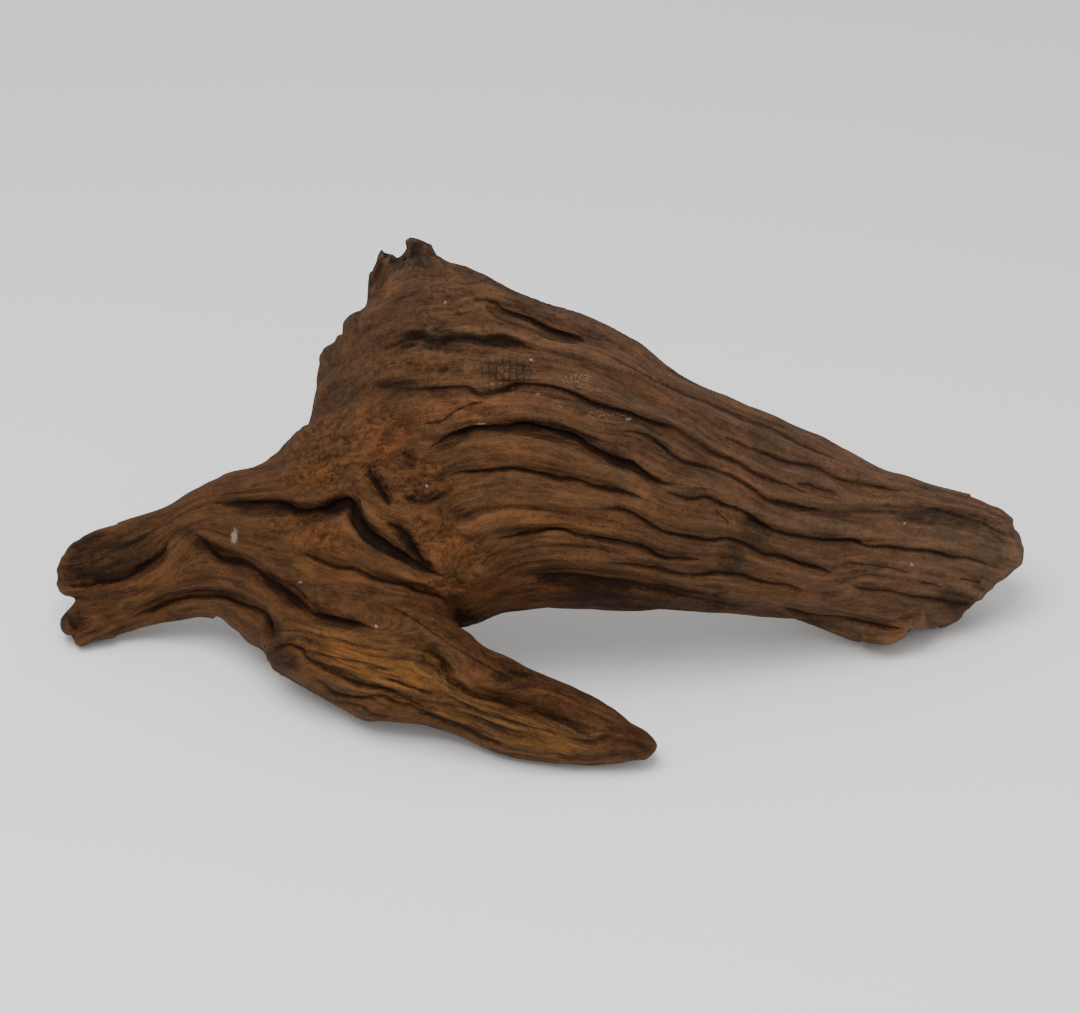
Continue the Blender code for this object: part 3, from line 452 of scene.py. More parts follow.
def drawn_place(points):
    """Rows of u, w, d as drawn from the eye, for points in metres."""
    place = (points * PER_METRE - SHIFT) @ TURN
    place[:, :2] /= 1.0 - place[:, 2:] / EYE_DISTANCE
    return place


def world_place(place):
    """The points in metres of rows of u, w, d: the other way round."""
    rows = np.array(place, float)
    rows[:, :2] *= 1.0 - rows[:, 2:] / EYE_DISTANCE
    return (rows @ TURN.T + SHIFT) * MILLIMETRE


def region(place, ellipses):
    """1 inside any of the soft ellipses of the face, fading to 0 outside them."""
    found = np.zeros(len(place))
    for u, w, half_length, half_width, turn, *level in ellipses:
        angle = math.radians(turn)
        du, dw = place[:, 0] - u, place[:, 1] - w
        along = (du * math.cos(angle) + dw * math.sin(angle)) / half_length
        across = (dw * math.cos(angle) - du * math.sin(angle)) / half_width
        inside = 1.0 - smooth_step(0.55, 1.25, np.hypot(along, across))
        found = np.maximum(found, inside * (level[0] if level else 1.0))
    return found


class Nearest:
    """Each point's signed distance to a line, positive above it, and its share of the run along it."""

    def __init__(self, plane, line, reach):
        path = smooth_line(line)
        lengths = np.linalg.norm(np.diff(path, axis=0), axis=1)
        run = np.concatenate([[0.0], np.cumsum(lengths)])
        self.length = run[-1]
        self.distance = np.full(len(plane), np.inf)
        self.side = np.ones(len(plane))
        self.along = np.zeros(len(plane))
        self.gap = np.zeros((len(plane), 2))
        for first in range(0, len(lengths), STEPS_AT_ONCE):
            b = path[first + 1:first + STEPS_AT_ONCE + 1]
            a = path[first:first + len(b)]
            low = np.minimum(a, b).min(0) - reach
            high = np.maximum(a, b).max(0) + reach
            rows = np.flatnonzero(np.all((plane > low) & (plane < high), axis=1))
            if not len(rows):
                continue
            step = b - a
            offset = plane[rows][:, None, :] - a[None]
            size = (step ** 2).sum(1)
            t = np.clip((offset * step).sum(2) / size, 0.0, 1.0)
            gap = offset - t[:, :, None] * step
            distance = np.sqrt((gap ** 2).sum(2))
            best = np.argmin(distance, axis=1)
            pick = np.arange(len(rows))
            closer = distance[pick, best] < self.distance[rows]
            rows, best, pick = rows[closer], best[closer], pick[closer]
            self.distance[rows] = distance[pick, best]
            self.gap[rows] = gap[pick, best]
            cross = step[best, 0] * offset[pick, best, 1] - step[best, 1] * offset[pick, best, 0]
            self.side[rows] = np.where(cross >= 0.0, 1.0, -1.0)
            self.along[rows] = run[first + best] + t[pick, best] * lengths[first + best]
        self.along /= self.length


def cells_of(plane):
    """The grid's cell that each point of the face lies in."""
    i = np.clip(np.round((plane[:, 0] - GRID_U[0]) / GRAIN_CELL).astype(int), 0, len(GRID_U) - 1)
    j = np.clip(np.round((plane[:, 1] - GRID_W[0]) / GRAIN_CELL).astype(int), 0, len(GRID_W) - 1)
    return i, j


def evened(field):
    """Each cell's mean of its four neighbours."""
    padded = np.pad(field, 1, mode="edge")
    return (padded[:-2, 1:-1] + padded[2:, 1:-1] + padded[1:-1, :-2] + padded[1:-1, 2:]) / 4.0


def grain_field():
    """The grain's height on a grid of the face: fixed along the lines and even between them."""
    total = np.zeros((len(GRID_U), len(GRID_W)))
    count = np.zeros_like(total)
    rows = [(row[0], row[0], row[5]) for row in FACE_LINES.values() if row[0] is not None]
    rows += [(low, high, points) for low, high, points in GRAIN_LINES]
    for low, high, points in rows:
        path = smooth_line(points, 10)
        steps = np.linalg.norm(np.diff(path, axis=0), axis=1)
        run = np.concatenate([[0.0], np.cumsum(steps)])
        value = low + (high - low) * run / run[-1]
        cells = cells_of(path)
        np.add.at(total, cells, value)
        np.add.at(count, cells, 1.0)
    fixed = count > 0
    at = np.argwhere(fixed).astype(float) * GRAIN_CELL
    known = total[fixed] / count[fixed]
    offsets = np.meshgrid(GRID_U - GRID_U[0], GRID_W - GRID_W[0], indexing="ij")
    grid = np.stack(offsets, axis=-1).reshape(-1, 2)
    weight = 1.0 / (((grid[:, None, :] - at[None]) ** 2).sum(2) + 1.0) ** 1.5
    field = (weight @ known / weight.sum(1)).reshape(total.shape)
    field[fixed] = known
    for _ in range(GRAIN_ROUNDS):
        field = np.where(fixed, field, evened(field))
    for _ in range(GRAIN_SMOOTHING):
        field = evened(field)
    return field


def look_up(field, plane):
    """The field's value at each point of the face, between its grid's four nearest ones."""
    x = np.clip((plane[:, 0] - GRID_U[0]) / GRAIN_CELL, 0.0, len(GRID_U) - 1.001)
    y = np.clip((plane[:, 1] - GRID_W[0]) / GRAIN_CELL, 0.0, len(GRID_W) - 1.001)
    i, j = x.astype(int), y.astype(int)
    p, q = x - i, y - j
    low = field[i, j] * (1 - p) + field[i + 1, j] * p
    high = field[i, j + 1] * (1 - p) + field[i + 1, j + 1] * p
    return low * (1 - q) + high * q


def depth_within(place, facing):
    """How far each point lies before the middle of its own side of the wood: its face or its back."""
    cells = cells_of(place)
    middles = []
    for weight in (np.clip(facing, 0.0, 1.0), np.clip(-facing, 0.0, 1.0)):
        total = np.zeros((len(GRID_U), len(GRID_W)))
        count = np.zeros_like(total)
        np.add.at(total, cells, place[:, 2] * weight)
        np.add.at(count, cells, weight)
        for _ in range(MIDDLE_ROUNDS):
            for sums in (total, count):
                sums += MIDDLE_SHARE * (evened(sums) - sums)
        middles.append(look_up(total / np.maximum(count, 1e-9), place[:, :2]))
    share = smooth_step(-0.5, 0.5, facing)
    return place[:, 2] - middles[0] * share - middles[1] * (1.0 - share)


class Grain:
    """The grain's height, depth and run at each point, and how close it lies."""

    def __init__(self, place, facing):
        field = grain_field()
        along_u, along_w = np.gradient(field, GRAIN_CELL)
        plane = place[:, :2]
        self.height = look_up(field, plane)
        steep = np.hypot(look_up(along_u, plane), look_up(along_w, plane))
        self.level = np.clip(np.log2(np.maximum(steep, 0.5)), 0.0, 2.0)
        self.depth = depth_within(place, facing)
        self.run = place[:, 0]

    def noise(self, noise, across, along):
        """Noise drawn out along the grain, about as wide everywhere, however close the grain runs."""
        found = np.zeros(len(self.run))
        for octave in range(3):
            share = np.clip(1.0 - np.abs(self.level - octave), 0.0, 1.0)
            near = np.flatnonzero(share > 0.0)
            scale = across * 2.0 ** octave
            height = self.height[near] / scale + 7.3 * octave
            value = noise(height, self.depth[near] / (1.2 * across), self.run[near] / along)
            found[near] += share[near] * value
        return found


def valley(distance, width, rounding=0.12, sharpness=1.4):
    """A valley's profile: 1 along its line and 0 from its width on, with a slightly rounded floor."""
    share = np.sqrt((distance / width) ** 2 + rounding ** 2) - rounding
    return np.clip(1.0 - share, 0.0, 1.0) ** sharpness


def lines_relief(place, warp, lines, noise, seed):
    """How far the drawn lines sink the surface, and each point's signed distance to the nearest one."""
    sunk = np.zeros(len(place))
    lips = np.zeros(len(place))
    crack = np.full(len(place), FAR)
    plane = place[:, :2] + warp
    for number, (name, (_, above, below, depth, lip, points)) in enumerate(lines.items()):
        reach = 2.2 * max(above, below) + 1.0
        near = Nearest(plane, points, reach)
        rows = np.flatnonzero(near.distance < reach)
        if not len(rows):
            continue
        along, distance = near.along[rows], near.distance[rows]
        ends = smooth_step(0.0, LINE_TAPER, along) * smooth_step(0.0, LINE_TAPER, 1.0 - along)
        own_row = np.full(len(rows), 3.7 * number + seed)
        swell = noise(along * near.length / 16.0, own_row, np.zeros(len(rows)))
        ends = ends * (1.0 + 0.7 * swell)
        side_width = np.where(near.side[rows] > 0.0, above, below)
        width = side_width * (LINE_WIDTHS[0] + LINE_WIDTHS[1] * ends)
        sunk[rows] = np.maximum(sunk[rows], depth * ends * valley(distance, width))
        raised = np.exp(-((distance / width - 1.25) / 0.45) ** 2)
        lips[rows] = np.maximum(lips[rows], 0.6 * lip * ends * raised)
        if name in SOFT_LINES:
            continue
        wide = (distance / (0.35 + 0.12 * depth) + max(0.0, 0.8 - depth / 4.0)) / np.maximum(ends, 0.05)
        closer = wide < np.abs(crack[rows])
        crack[rows[closer]] = (wide * near.side[rows])[closer]
    return sunk - lips, crack


def edges_of(mesh):
    """The two ends of each edge."""
    flat = np.empty(len(mesh.edges) * 2, np.int32)
    mesh.edges.foreach_get("vertices", flat)
    return flat[0::2], flat[1::2]


def points_of(mesh):
    """The mesh's vertices as rows, in its own units."""
    flat = np.empty(len(mesh.vertices) * 3, np.float32)
    mesh.vertices.foreach_get("co", flat)
    return flat.reshape(-1, 3).astype(float)


def normals_of(mesh):
    """The mesh's vertex normals as rows."""
    flat = np.empty(len(mesh.vertices) * 3, np.float32)
    mesh.vertex_normals.foreach_get("vector", flat)
    return flat.reshape(-1, 3).astype(float)


def put_points(mesh, points):
    """Moves the mesh's vertices."""
    mesh.vertices.foreach_set("co", points.astype(np.float32).ravel())
    mesh.update()


def averaged(values, ends, rounds, share=0.5):
    """Values at the vertices, evened out along the edges over some rounds."""
    first, second = ends
    count = len(values)
    links = np.bincount(first, minlength=count) + np.bincount(second, minlength=count)
    links = np.maximum(links, 1)
    columns = values.reshape(count, -1).copy()
    for _ in range(rounds):
        for k in range(columns.shape[1]):
            column = columns[:, k]
            total = np.bincount(first, column[second], count) + np.bincount(second, column[first], count)
            columns[:, k] = column + share * (total / links - column)
    return columns.reshape(values.shape)


def keep_values(mesh, name, values):
    """Keeps a number, or three, at each vertex."""
    kind = "FLOAT" if values.ndim == 1 else "FLOAT_VECTOR"
    field = "value" if values.ndim == 1 else "vector"
    attribute = mesh.attributes.new(name, kind, "POINT")
    attribute.data.foreach_set(field, values.astype(np.float32).ravel())


def evaluated_mesh(obj):
    """The object's mesh with its modifiers applied."""
    bpy.context.view_layer.update()
    graph = bpy.context.evaluated_depsgraph_get()
    return bpy.data.meshes.new_from_object(obj.evaluated_get(graph))


def with_modifiers(mesh, *modifiers):
    """A new mesh: this one under the given modifiers, each a type and its settings."""
    obj = bpy.data.objects.new("worked_wood", mesh)
    bpy.context.scene.collection.objects.link(obj)
    for kind, settings in modifiers:
        modifier = obj.modifiers.new(kind.lower(), kind)
        for name, value in settings.items():
            setattr(modifier, name, value)
    result = evaluated_mesh(obj)
    bpy.data.objects.remove(obj, do_unlink=True)
    return result


def broken_end(middle, half, dome, outline):
    """A domed slab of wood with the given outline."""
    ring = np.array(outline, float)
    centre = ring.mean(0)
    count = len(ring)
    layers = []
    for step in (-1.0, -0.6, 0.0, 0.6, 1.0):
        flat = centre + (ring - centre) * (1.0 - dome * step * step)
        layers.append(np.column_stack([flat, np.full(count, middle + half * step)]))
    faces = [tuple(range(count)), tuple(range(4 * count, 5 * count))[::-1]]
    for layer in range(4):
        for k in range(count):
            low, high = layer * count, (layer + 1) * count
            after = (k + 1) % count
            faces.append((low + k, high + k, high + after, low + after))
    mesh = bpy.data.meshes.new("broken_end")
    mesh.from_pydata(world_place(np.vstack(layers)).tolist(), [], faces)
    return mesh


def with_broken_ends(mesh):
    """The skin and the sharper ends in one mesh, for the remesh to join."""
    body = bmesh.new()
    body.from_mesh(mesh)
    for middle, half, dome, outline in BROKEN_ENDS.values():
        slab = bmesh.new()
        end = broken_end(middle, half, dome, outline)
        slab.from_mesh(end)
        bmesh.ops.recalc_face_normals(slab, faces=slab.faces)
        slab.to_mesh(end)
        slab.free()
        body.from_mesh(end)
        bpy.data.meshes.remove(end)
    joined = bpy.data.meshes.new("joined_wood")
    body.to_mesh(joined)
    body.free()
    return joined


def carve(mesh, sizes):
    """Sinks the drawn lines, the flutes, the burl and the torn fibres into the skin, and keeps the grain."""
    noise = GradientNoise(NOISE_SEED)
    points, normals = points_of(mesh), normals_of(mesh)
    place = drawn_place(points)
    facing = (normals @ TURN)[:, 2]
    front, back = smooth_step(*FRONT_TURN, facing), smooth_step(*BACK_TURN, -facing)
    ends = edges_of(mesh)
    smoothed = averaged(points * PER_METRE, ends, GROOVE_ROUNDS)
    hollow = (normals * (smoothed - points * PER_METRE)).sum(1)
    even = place.copy()
    even[:, 2] = averaged(place[:, 2], ends, DEPTH_ROUNDS)
    grain = Grain(even, averaged(facing, ends, FACING_ROUNDS))
    u, w, d = place.T
    warp = np.zeros((len(place), 2))
    for long, high, deep, push in WANDER:
        both_ways = [noise(u / long + start, w / high, d / deep) for start in (0, 31)]
        warp += np.column_stack(both_ways) * push
    burl, torn = region(place, BURL) * front, region(place, TORN) * front
    face, crack = lines_relief(place, warp, FACE_LINES, noise, 0.5)
    rear, rear_crack = lines_relief(place, warp, BACK_LINES, noise, 50.5)
    sunk = sizes.line_depth * (face * front + rear * back)
    # The solid's own grooves are filled a little, and more so towards the root's end
    fuller = 1.0 + 0.6 * smooth_step(50.0, 110.0, u)
    sunk -= sizes.groove_fill * fuller * np.clip(hollow, 0.0, 4.0)

    # Flutes, ridges and fibres along the grain, calmer on the burl and deeper where the wood is torn
    calm = 1.0 - 0.7 * burl
    broad = grain.noise(noise, *FLUTE_SIZE)
    sunk += sizes.flute_depth * calm * (valley(np.abs(broad), 0.20) - 0.25) * (1.0 + 0.6 * back)
    narrow = grain.noise(noise, *RIDGE_SIZE)
    sunk += sizes.ridge_depth * calm * (valley(np.abs(narrow), 0.28, 0.35) - 0.2) * (1.0 + 1.4 * torn)
    fine = grain.noise(noise, *FIBRE_SIZE)
    sunk += sizes.fibre_depth * (1.0 + 1.6 * torn) * fine * 1.6

    # Knobs and wrinkles of the burl, the ear's thin ridges, and soft lumps all over
    knobs = noise(u / 9.0 + 5, w / 5.0, d / 8.0) + 0.6 * noise(u / 4.2, w / 2.2 + 9, d / 3.6)
    wrinkles = valley(np.abs(noise(u / 7.5, w / 3.4 + 40, d / 6.0)), 0.16)
    sunk += sizes.burl_depth * burl * (1.1 * wrinkles - 1.0 * knobs)
    ear = region(place, EAR)
    sunk += EAR_DEPTH * ear * valley(np.abs(noise(u / 3.2, w / 34.0, d / 3.2)), 0.30)
    lumps = noise(u / 15, w / 10 + 20, d / 15)
    sunk -= LUMP_DEPTH * lumps
    sunk -= sizes.swell

    # Little is cut close to the floor, so that the feet stay as they are
    off_floor = smooth_step(0.0, 6.0, points[:, 2] * PER_METRE)
    points -= normals * (sunk * (0.25 + 0.75 * off_floor) * MILLIMETRE)[:, None]
    points[:, 2] = np.maximum(points[:, 2], 0.0)
    put_points(mesh, points)

    keep_values(mesh, "grain", np.column_stack([grain.height, grain.depth, grain.run]))
    keep_values(mesh, "place", place)
    crack = np.where(front > 0.3, crack, np.where(back > 0.3, rear_crack, FAR))
    close = np.clip(grain.level / 1.15, 0.0, 1.0)
    keep_values(mesh, "crack", np.column_stack([crack, np.abs(crack), close]))
    # Painted shade: the shaded places, softer, and the almost black pits, on the face only
    shade = np.maximum(0.5 * region(place, SHADE_AND_DARK_WOOD), region(place, PITS)) * front
    keep_values(mesh, "tones", np.column_stack([region(place, GREY), torn, shade]))
    accents = [region(place, ellipses) * front for ellipses in (AMBER, PALE_SPLINTERS_AND_HIGHLIGHT, CHECKED)]
    keep_values(mesh, "accents", np.column_stack(accents))
    keep_values(mesh, "burl", burl)
    keep_values(mesh, "front", front)


def trim(mesh):
    """Moves what lies past the broken ends' edges back to them."""
    place = drawn_place(points_of(mesh))
    for line in TRIM_LINES:
        near = Nearest(place[:, :2], line, TRIM_REACH)
        past = (near.side > 0.0) & (near.distance < TRIM_REACH) & (near.along > 0.0) & (near.along < 1.0)
        place[past, :2] -= near.gap[past]
    put_points(mesh, world_place(place))


def hollows(mesh):
    """How hollow the wood is at each vertex, from fine to broad, in millimetres."""
    points, normals = points_of(mesh) * PER_METRE, normals_of(mesh)
    ends = edges_of(mesh)
    found = []
    smoothed = points
    done = 0
    for rounds in HOLLOW_ROUNDS:
        smoothed = averaged(smoothed, ends, rounds - done)
        done = rounds
        found.append((normals * (smoothed - points)).sum(1))
    return np.column_stack(found)


def finished_root(sizes):
    """The root's fine skin, from the CAD solid's own surface."""
    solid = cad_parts[NODE]
    source = solid.data.copy()
    source.transform(solid.matrix_world)
    source.materials.clear()
    voxel = sizes.skin_step * 1.0
    weld = ("WELD", {"merge_threshold": 1e-6})
    rounded = ("SUBSURF", {"levels": 2, "render_levels": 2})
    skin = ("REMESH", {"mode": "VOXEL", "voxel_size": voxel * MILLIMETRE})
    soft = ("SMOOTH", {"factor": 0.5, "iterations": 3})
    mesh = with_modifiers(with_broken_ends(with_modifiers(source, weld, rounded)), skin, soft)
    for attribute in list(mesh.attributes):
        if not attribute.is_required and not attribute.is_internal:
            mesh.attributes.remove(attribute)
    carve(mesh, sizes)
    put_points(mesh, averaged(points_of(mesh), edges_of(mesh), 1, 0.35))
    trim(mesh)
    keep_values(mesh, "hollow", hollows(mesh))
    triangles = sum(len(p.vertices) - 2 for p in mesh.polygons)
    ratio = min(1.0, sizes.most_triangles / triangles)
    fewer = ("DECIMATE", {"ratio": ratio, "use_collapse_triangulate": True})
    thinned = with_modifiers(mesh, fewer)
    points = points_of(thinned)
    points[:, 2] = np.maximum(points[:, 2], 0.0)
    put_points(thinned, points)
    thinned.shade_smooth()
    return thinned


class Signal:
    """A number from a node's socket, which Python's operators work on."""

    def __init__(self, paint, socket):
        self.paint = paint
        self.socket = socket

    def _math(self, operation, *values):
        return self.paint.node("ShaderNodeMath", {"operation": operation}, dict(enumerate(values)))

    def __add__(self, other):
        return self._math("ADD", self, other)

    def __radd__(self, other):
        return self._math("ADD", other, self)

    def __sub__(self, other):
        return self._math("SUBTRACT", self, other)

    def __rsub__(self, other):
        return self._math("SUBTRACT", other, self)

    def __mul__(self, other):
        return self._math("MULTIPLY", self, other)

    def __rmul__(self, other):
        return self._math("MULTIPLY", other, self)

    def __abs__(self):
        return self._math("ABSOLUTE", self)

    def at_most(self, other):
        return self._math("MINIMUM", self, other)

    def at_least(self, other):
        return self._math("MAXIMUM", self, other)

    def rise(self, low, high):
        """0 below low, 1 above high, smooth between."""
        return self.paint.node(
            "ShaderNodeMapRange", {"interpolation_type": "SMOOTHSTEP"},
            {"Value": self, "From Min": low, "From Max": high})

    def fall(self, low, high):
        """1 below low, 0 above high, smooth between."""
        return 1.0 - self.rise(low, high)


class Paint:
    """A material's nodes."""

    def __init__(self, name):
        self.material = bpy.data.materials.new(name)
        self.material.use_nodes = True
        self.tree = self.material.node_tree
        self.shader = self.tree.nodes["Principled BSDF"]

    def feed(self, socket, value):
        """Links a signal to a socket, or sets the socket's own value."""
        if isinstance(value, Signal):
            self.tree.links.new(value.socket, socket)
        else:
            socket.default_value = value

    def node(self, kind, settings=None, inputs=None, output=0):
        """Adds a node: its settings first, then the values or links of its sockets."""
        node = self.tree.nodes.new(kind)
        for name, value in (settings or {}).items():
            if name == "stops":
                self.set_stops(node.color_ramp, value)
            else:
                setattr(node, name, value)
        for key, value in (inputs or {}).items():
            self.feed(node.inputs[key], value)
        return Signal(self, node.outputs[output])

    def set_stops(self, ramp, stops):
        """Gives a ramp its stops, each a place and a colour."""
        while len(ramp.elements) > 1:
            ramp.elements.remove(ramp.elements[-1])
        for number, (at, colour) in enumerate(stops):
            stop = ramp.elements[0] if number == 0 else ramp.elements.new(at)
            stop.position = at
            stop.color = colour

    def kept(self, name, output="Vector"):
        """What is kept at each vertex under a name."""
        return self.node("ShaderNodeAttribute", {"attribute_name": name}, output=output)

    def parts(self, vector):
        """A vector's three numbers."""
        node = self.tree.nodes.new("ShaderNodeSeparateXYZ")
        self.feed(node.inputs[0], vector)
        return [Signal(self, socket) for socket in node.outputs]

    def scaled(self, vector, scale):
        """A vector times three numbers."""
        return self.node("ShaderNodeVectorMath", {"operation": "MULTIPLY"}, {0: vector, 1: scale})

    def swells(self, vector, scale, detail=2.0, rough=0.5, warp=0.0):
        """Soft noise between 0 and 1."""
        inputs = {"Vector": vector, "Scale": scale, "Detail": detail, "Roughness": rough, "Distortion": warp}
        return self.node("ShaderNodeTexNoise", {"normalize": True}, inputs)

    def ramp(self, light, *stops):
        """Colours along a number: each stop a place, a colour and how light it is."""
        settings = {"stops": [(at, opaque(colour, shade)) for at, colour, shade in stops]}
        return self.node("ShaderNodeValToRGB", settings, {0: light})

    def away(self, place, middle, halves):
        """Distance from the middle of an ellipse of the face, 1 at its edge."""
        shrunk = self.scaled(place, (1.0 / halves[0], 1.0 / halves[1], 0.0))
        centre = (middle[0] / halves[0], middle[1] / halves[1], 0.0)
        return self.node("ShaderNodeVectorMath", {"operation": "DISTANCE"}, {0: shrunk, 1: centre}, output=1)

    def mixed(self, share, first, second, blend="MIX"):
        """One colour laid over another."""
        settings = {"data_type": "RGBA", "blend_type": blend}
        return self.node("ShaderNodeMix", settings, {0: share, 6: first, 7: second}, output=2)


def opaque(colour, shade=1.0):
    """A colour with full opacity, made lighter or darker."""
    return (colour[0] * shade, colour[1] * shade, colour[2] * shade, 1.0)


# Pale grit stuck to the wood: middle u, w, half width, half height
SPECKS = (
    (-122.4, -11.6, 1.5, 3.6), (-96, -29.8, 1, 0.8), (-45.3, 8.6, 0.8, 0.7), (-3.5, 59, 0.8, 0.5),
    (-1, 45, 0.9, 0.6), (35.2, 35, 1.3, 0.7), (-38, 82, 0.6, 0.6), (-23.5, 33.6, 2.2, 0.45),
    (146, -6.2, 0.6, 0.6), (148.5, -23, 0.8, 0.8), (-65.6, -47.5, 0.7, 0.7),
)
# Dust of finer grit: middle u, w, half length, half width, and the share of it that is clear
DUST = (
    (15, 51.6, 8.5, 2.4, 0.58), (27, 37, 8.5, 1.8, 0.58), (-9, 57, 9, 3.5, 0.66), (154, -25, 5, 1.2, 0.64),
    (40, 41, 14, 3, 0.7), (22.5, 42, 6, 3, 0.68),
)


def along_grain(paint, grain, close, across, along, detail):
    """Noise drawn out along the grain, as wide where the grain runs close as elsewhere."""
    wide, tight = [
        paint.swells(paint.scaled(grain, (squeeze / across, 1.0 / across, 1.0 / along)), 1.0, detail, 0.6)
        for squeeze in (1.0, 0.45)]
    return wide + (tight - wide) * close


def weathered_wood(finish):
    """Weathered root wood: grooves darkened by dirt and painted shade, worn ridges, fibres along the grain,
    greyed and torn places.
    """
    paint = Paint("weathered_root_wood")
    grain, place = paint.kept("grain"), paint.kept("place")
    fine_hollow, mid_hollow, broad_hollow = paint.parts(paint.kept("hollow"))
    greyed, torn, shaded = paint.parts(paint.kept("tones"))
    amber, splinter_and_highlight, checked = paint.parts(paint.kept("accents"))
    burl, front = paint.kept("burl", "Fac"), paint.kept("front", "Fac")
    # Half way between two lines the signed distance passes through 0, and the unsigned one doesn't
    sided, unsided, close = paint.parts(paint.kept("crack"))
    crack = abs(sided).at_least(unsided - 0.8)
    across_u, across_w, _ = paint.parts(place)

    marks = {name: along_grain(paint, grain, close, *size) for name, size in GRAIN_MARKS.items()}
    marks.update((name, paint.swells(place, *size)) for name, size in LOOSE_MARKS.items())
    streaks, fibres, flecks = marks["streaks"], marks["fibres"], marks["flecks"]
    clouds, mottle, pores = marks["clouds"], marks["mottle"], marks["pores"]

    # How light the wood is: painted shade in hollows, pits, shaded places and around the drawn lines, lighter
    # on ridges, streaked along the grain, mottled on the burl, lighter towards the root's end and darker
    # towards the top
    light = PLAIN_LIGHT - (fine_hollow * 0.55 + mid_hollow * 0.16 + broad_hollow * 0.02)
    for name, share in MARK_LIGHT.items():
        light = light + (marks[name] - 0.5) * share
    threads = (streaks - 0.5) * (0.60 + torn) + (fibres - 0.5) * (0.65 + torn * 0.5)
    threads = threads + (marks["blotches"] - 0.5) * 0.8
    light = light + threads * (1.0 - burl * 0.6) + (mottle - 0.5) * (0.45 + burl)
    light = light - shaded * 0.50 - crack.fall(0.4, 3.8) * 0.12 + amber * 0.07 + splinter_and_highlight * 0.25
    light = light - marks["spots"].rise(0.60, 0.68) * clouds.rise(0.38, 0.58) * 0.16
    light = light + across_u.rise(40.0, 130.0) * 0.07 - across_w.rise(50.0, 95.0) * 0.07

    # Plain wood, its darkest end also the grooves' dirt and painted shade, under greyed, torn and warmer
    # places and pale splinters with a painted highlight along the torn step
    dark, mid, pale = finish.groove_dirt_and_shade_colour, finish.wood_colour, finish.ridge_colour
    ashen, fresh = finish.grey_colour, finish.torn_colour
    wood = paint.ramp(
        light, (0.0, dark, 0.55), (0.22, dark, 1.0), (0.54, mid, 1.0), (0.85, pale, 1.0), (1.0, pale, 1.25))
    grey = paint.ramp(light, (0.0, ashen, 0.12), (0.45, ashen, 0.60), (1.0, ashen, 1.35))
    bare = paint.ramp(light, (0.0, fresh, 0.10), (0.4, fresh, 0.42), (0.75, fresh, 1.0), (1.0, fresh, 1.5))
    # Greyed wood, grey in middling hollows, and the painted grey shadow below the trunk's middle
    worn_and_shadow_grey = (greyed * 0.55 + mid_hollow.rise(0.4, 1.8) * 0.15 * (mottle * 1.6)).at_most(0.8)
    colour = paint.mixed(worn_and_shadow_grey * (1.0 - amber * 0.7), wood, grey)
    colour = paint.mixed((torn * (0.3 + streaks * 0.9)).at_most(0.9), colour, bare)
    warmer = paint.mixed(1.0, colour, opaque(finish.amber_tint), "MULTIPLY")
    colour = paint.mixed((amber * 0.5 + burl * 0.3).at_most(0.8), colour, warmer)
    colour = paint.mixed(splinter_and_highlight * 0.6, colour, opaque(fresh, 1.3))

    # Tints: from the warm branch to the cooler brow and end, and in redder and duller patches
    cool = (across_u + across_w * 1.6).rise(-60.0, 180.0)
    redder = (marks["blotches"] * 0.6 + clouds * 0.4).rise(0.38, 0.60)
    tints = ((cool, finish.warm_tint, finish.cool_tint), (redder, finish.dull_tint, finish.red_tint))
    for share, first, second in tints:
        tint = paint.mixed(share, opaque(first), opaque(second))
        colour = paint.mixed(1.0, colour, tint, "MULTIPLY")

    # Dirt and painted shade at the dark bottoms of the drawn lines, and square cracks on the checked patch
    cut = crack.fall(0.10, 1.30) * 0.55
    colour = paint.mixed(cut, colour, opaque(dark, 0.35))
    blocks = paint.node(
        "ShaderNodeTexVoronoi", {"feature": "DISTANCE_TO_EDGE"},
        {"Vector": paint.scaled(grain, CHECKS), "Scale": 1.0, "Randomness": CHECK_UNEVENNESS})
    split = (blocks + (mottle - 0.5) * 0.25).fall(0.01, 0.15) * (checked * mottle.rise(0.30, 0.55))
    colour = paint.mixed(split * 0.55, colour, opaque(dark, 0.5))

    # Stuck grit and dust
    grit = opaque(finish.sand_colour)
    for u, w, half_width, half_height in SPECKS:
        away = paint.away(place, (u, w), (half_width, half_height))
        spot = (away + (pores - 0.5) * 2.4).fall(0.5, 1.0) * front
        colour = paint.mixed(spot * 0.5, colour, grit)
    for u, w, half_length, half_width, clear in DUST:
        away = paint.away(place, (u, w), (half_length, half_width))
        spot = pores.rise(clear, clear + 0.08) * away.fall(0.5, 1.1) * front
        colour = paint.mixed(spot * 0.5, colour, grit)

    paint.feed(paint.shader.inputs["Base Color"], colour)
    rough = 0.74 + (fibres - 0.5) * 0.2 + mid_hollow.rise(0.0, 1.0) * 0.14 + greyed * 0.05
    paint.feed(paint.shader.inputs["Roughness"], rough.at_most(0.97))
    paint.shader.inputs["Specular IOR Level"].default_value = 0.10
    relief = fibres * 0.7 + streaks * 0.6 + flecks * 0.4 + mottle * (0.3 + burl * 0.9) + pores * 0.4
    relief = relief - split * 0.5 - cut * 0.6
    bump = paint.node("ShaderNodeBump", {}, {"Strength": 0.8, "Distance": 0.0012, "Height": relief})
    paint.feed(paint.shader.inputs["Normal"], bump)
    return paint.material


def plain_floor(colour):
    """Matt pale card."""
    paint = Paint("pale_card")
    paint.shader.inputs["Base Color"].default_value = opaque(colour)
    paint.shader.inputs["Roughness"].default_value = 0.9
    paint.shader.inputs["Specular IOR Level"].default_value = 0.1
    return paint.material


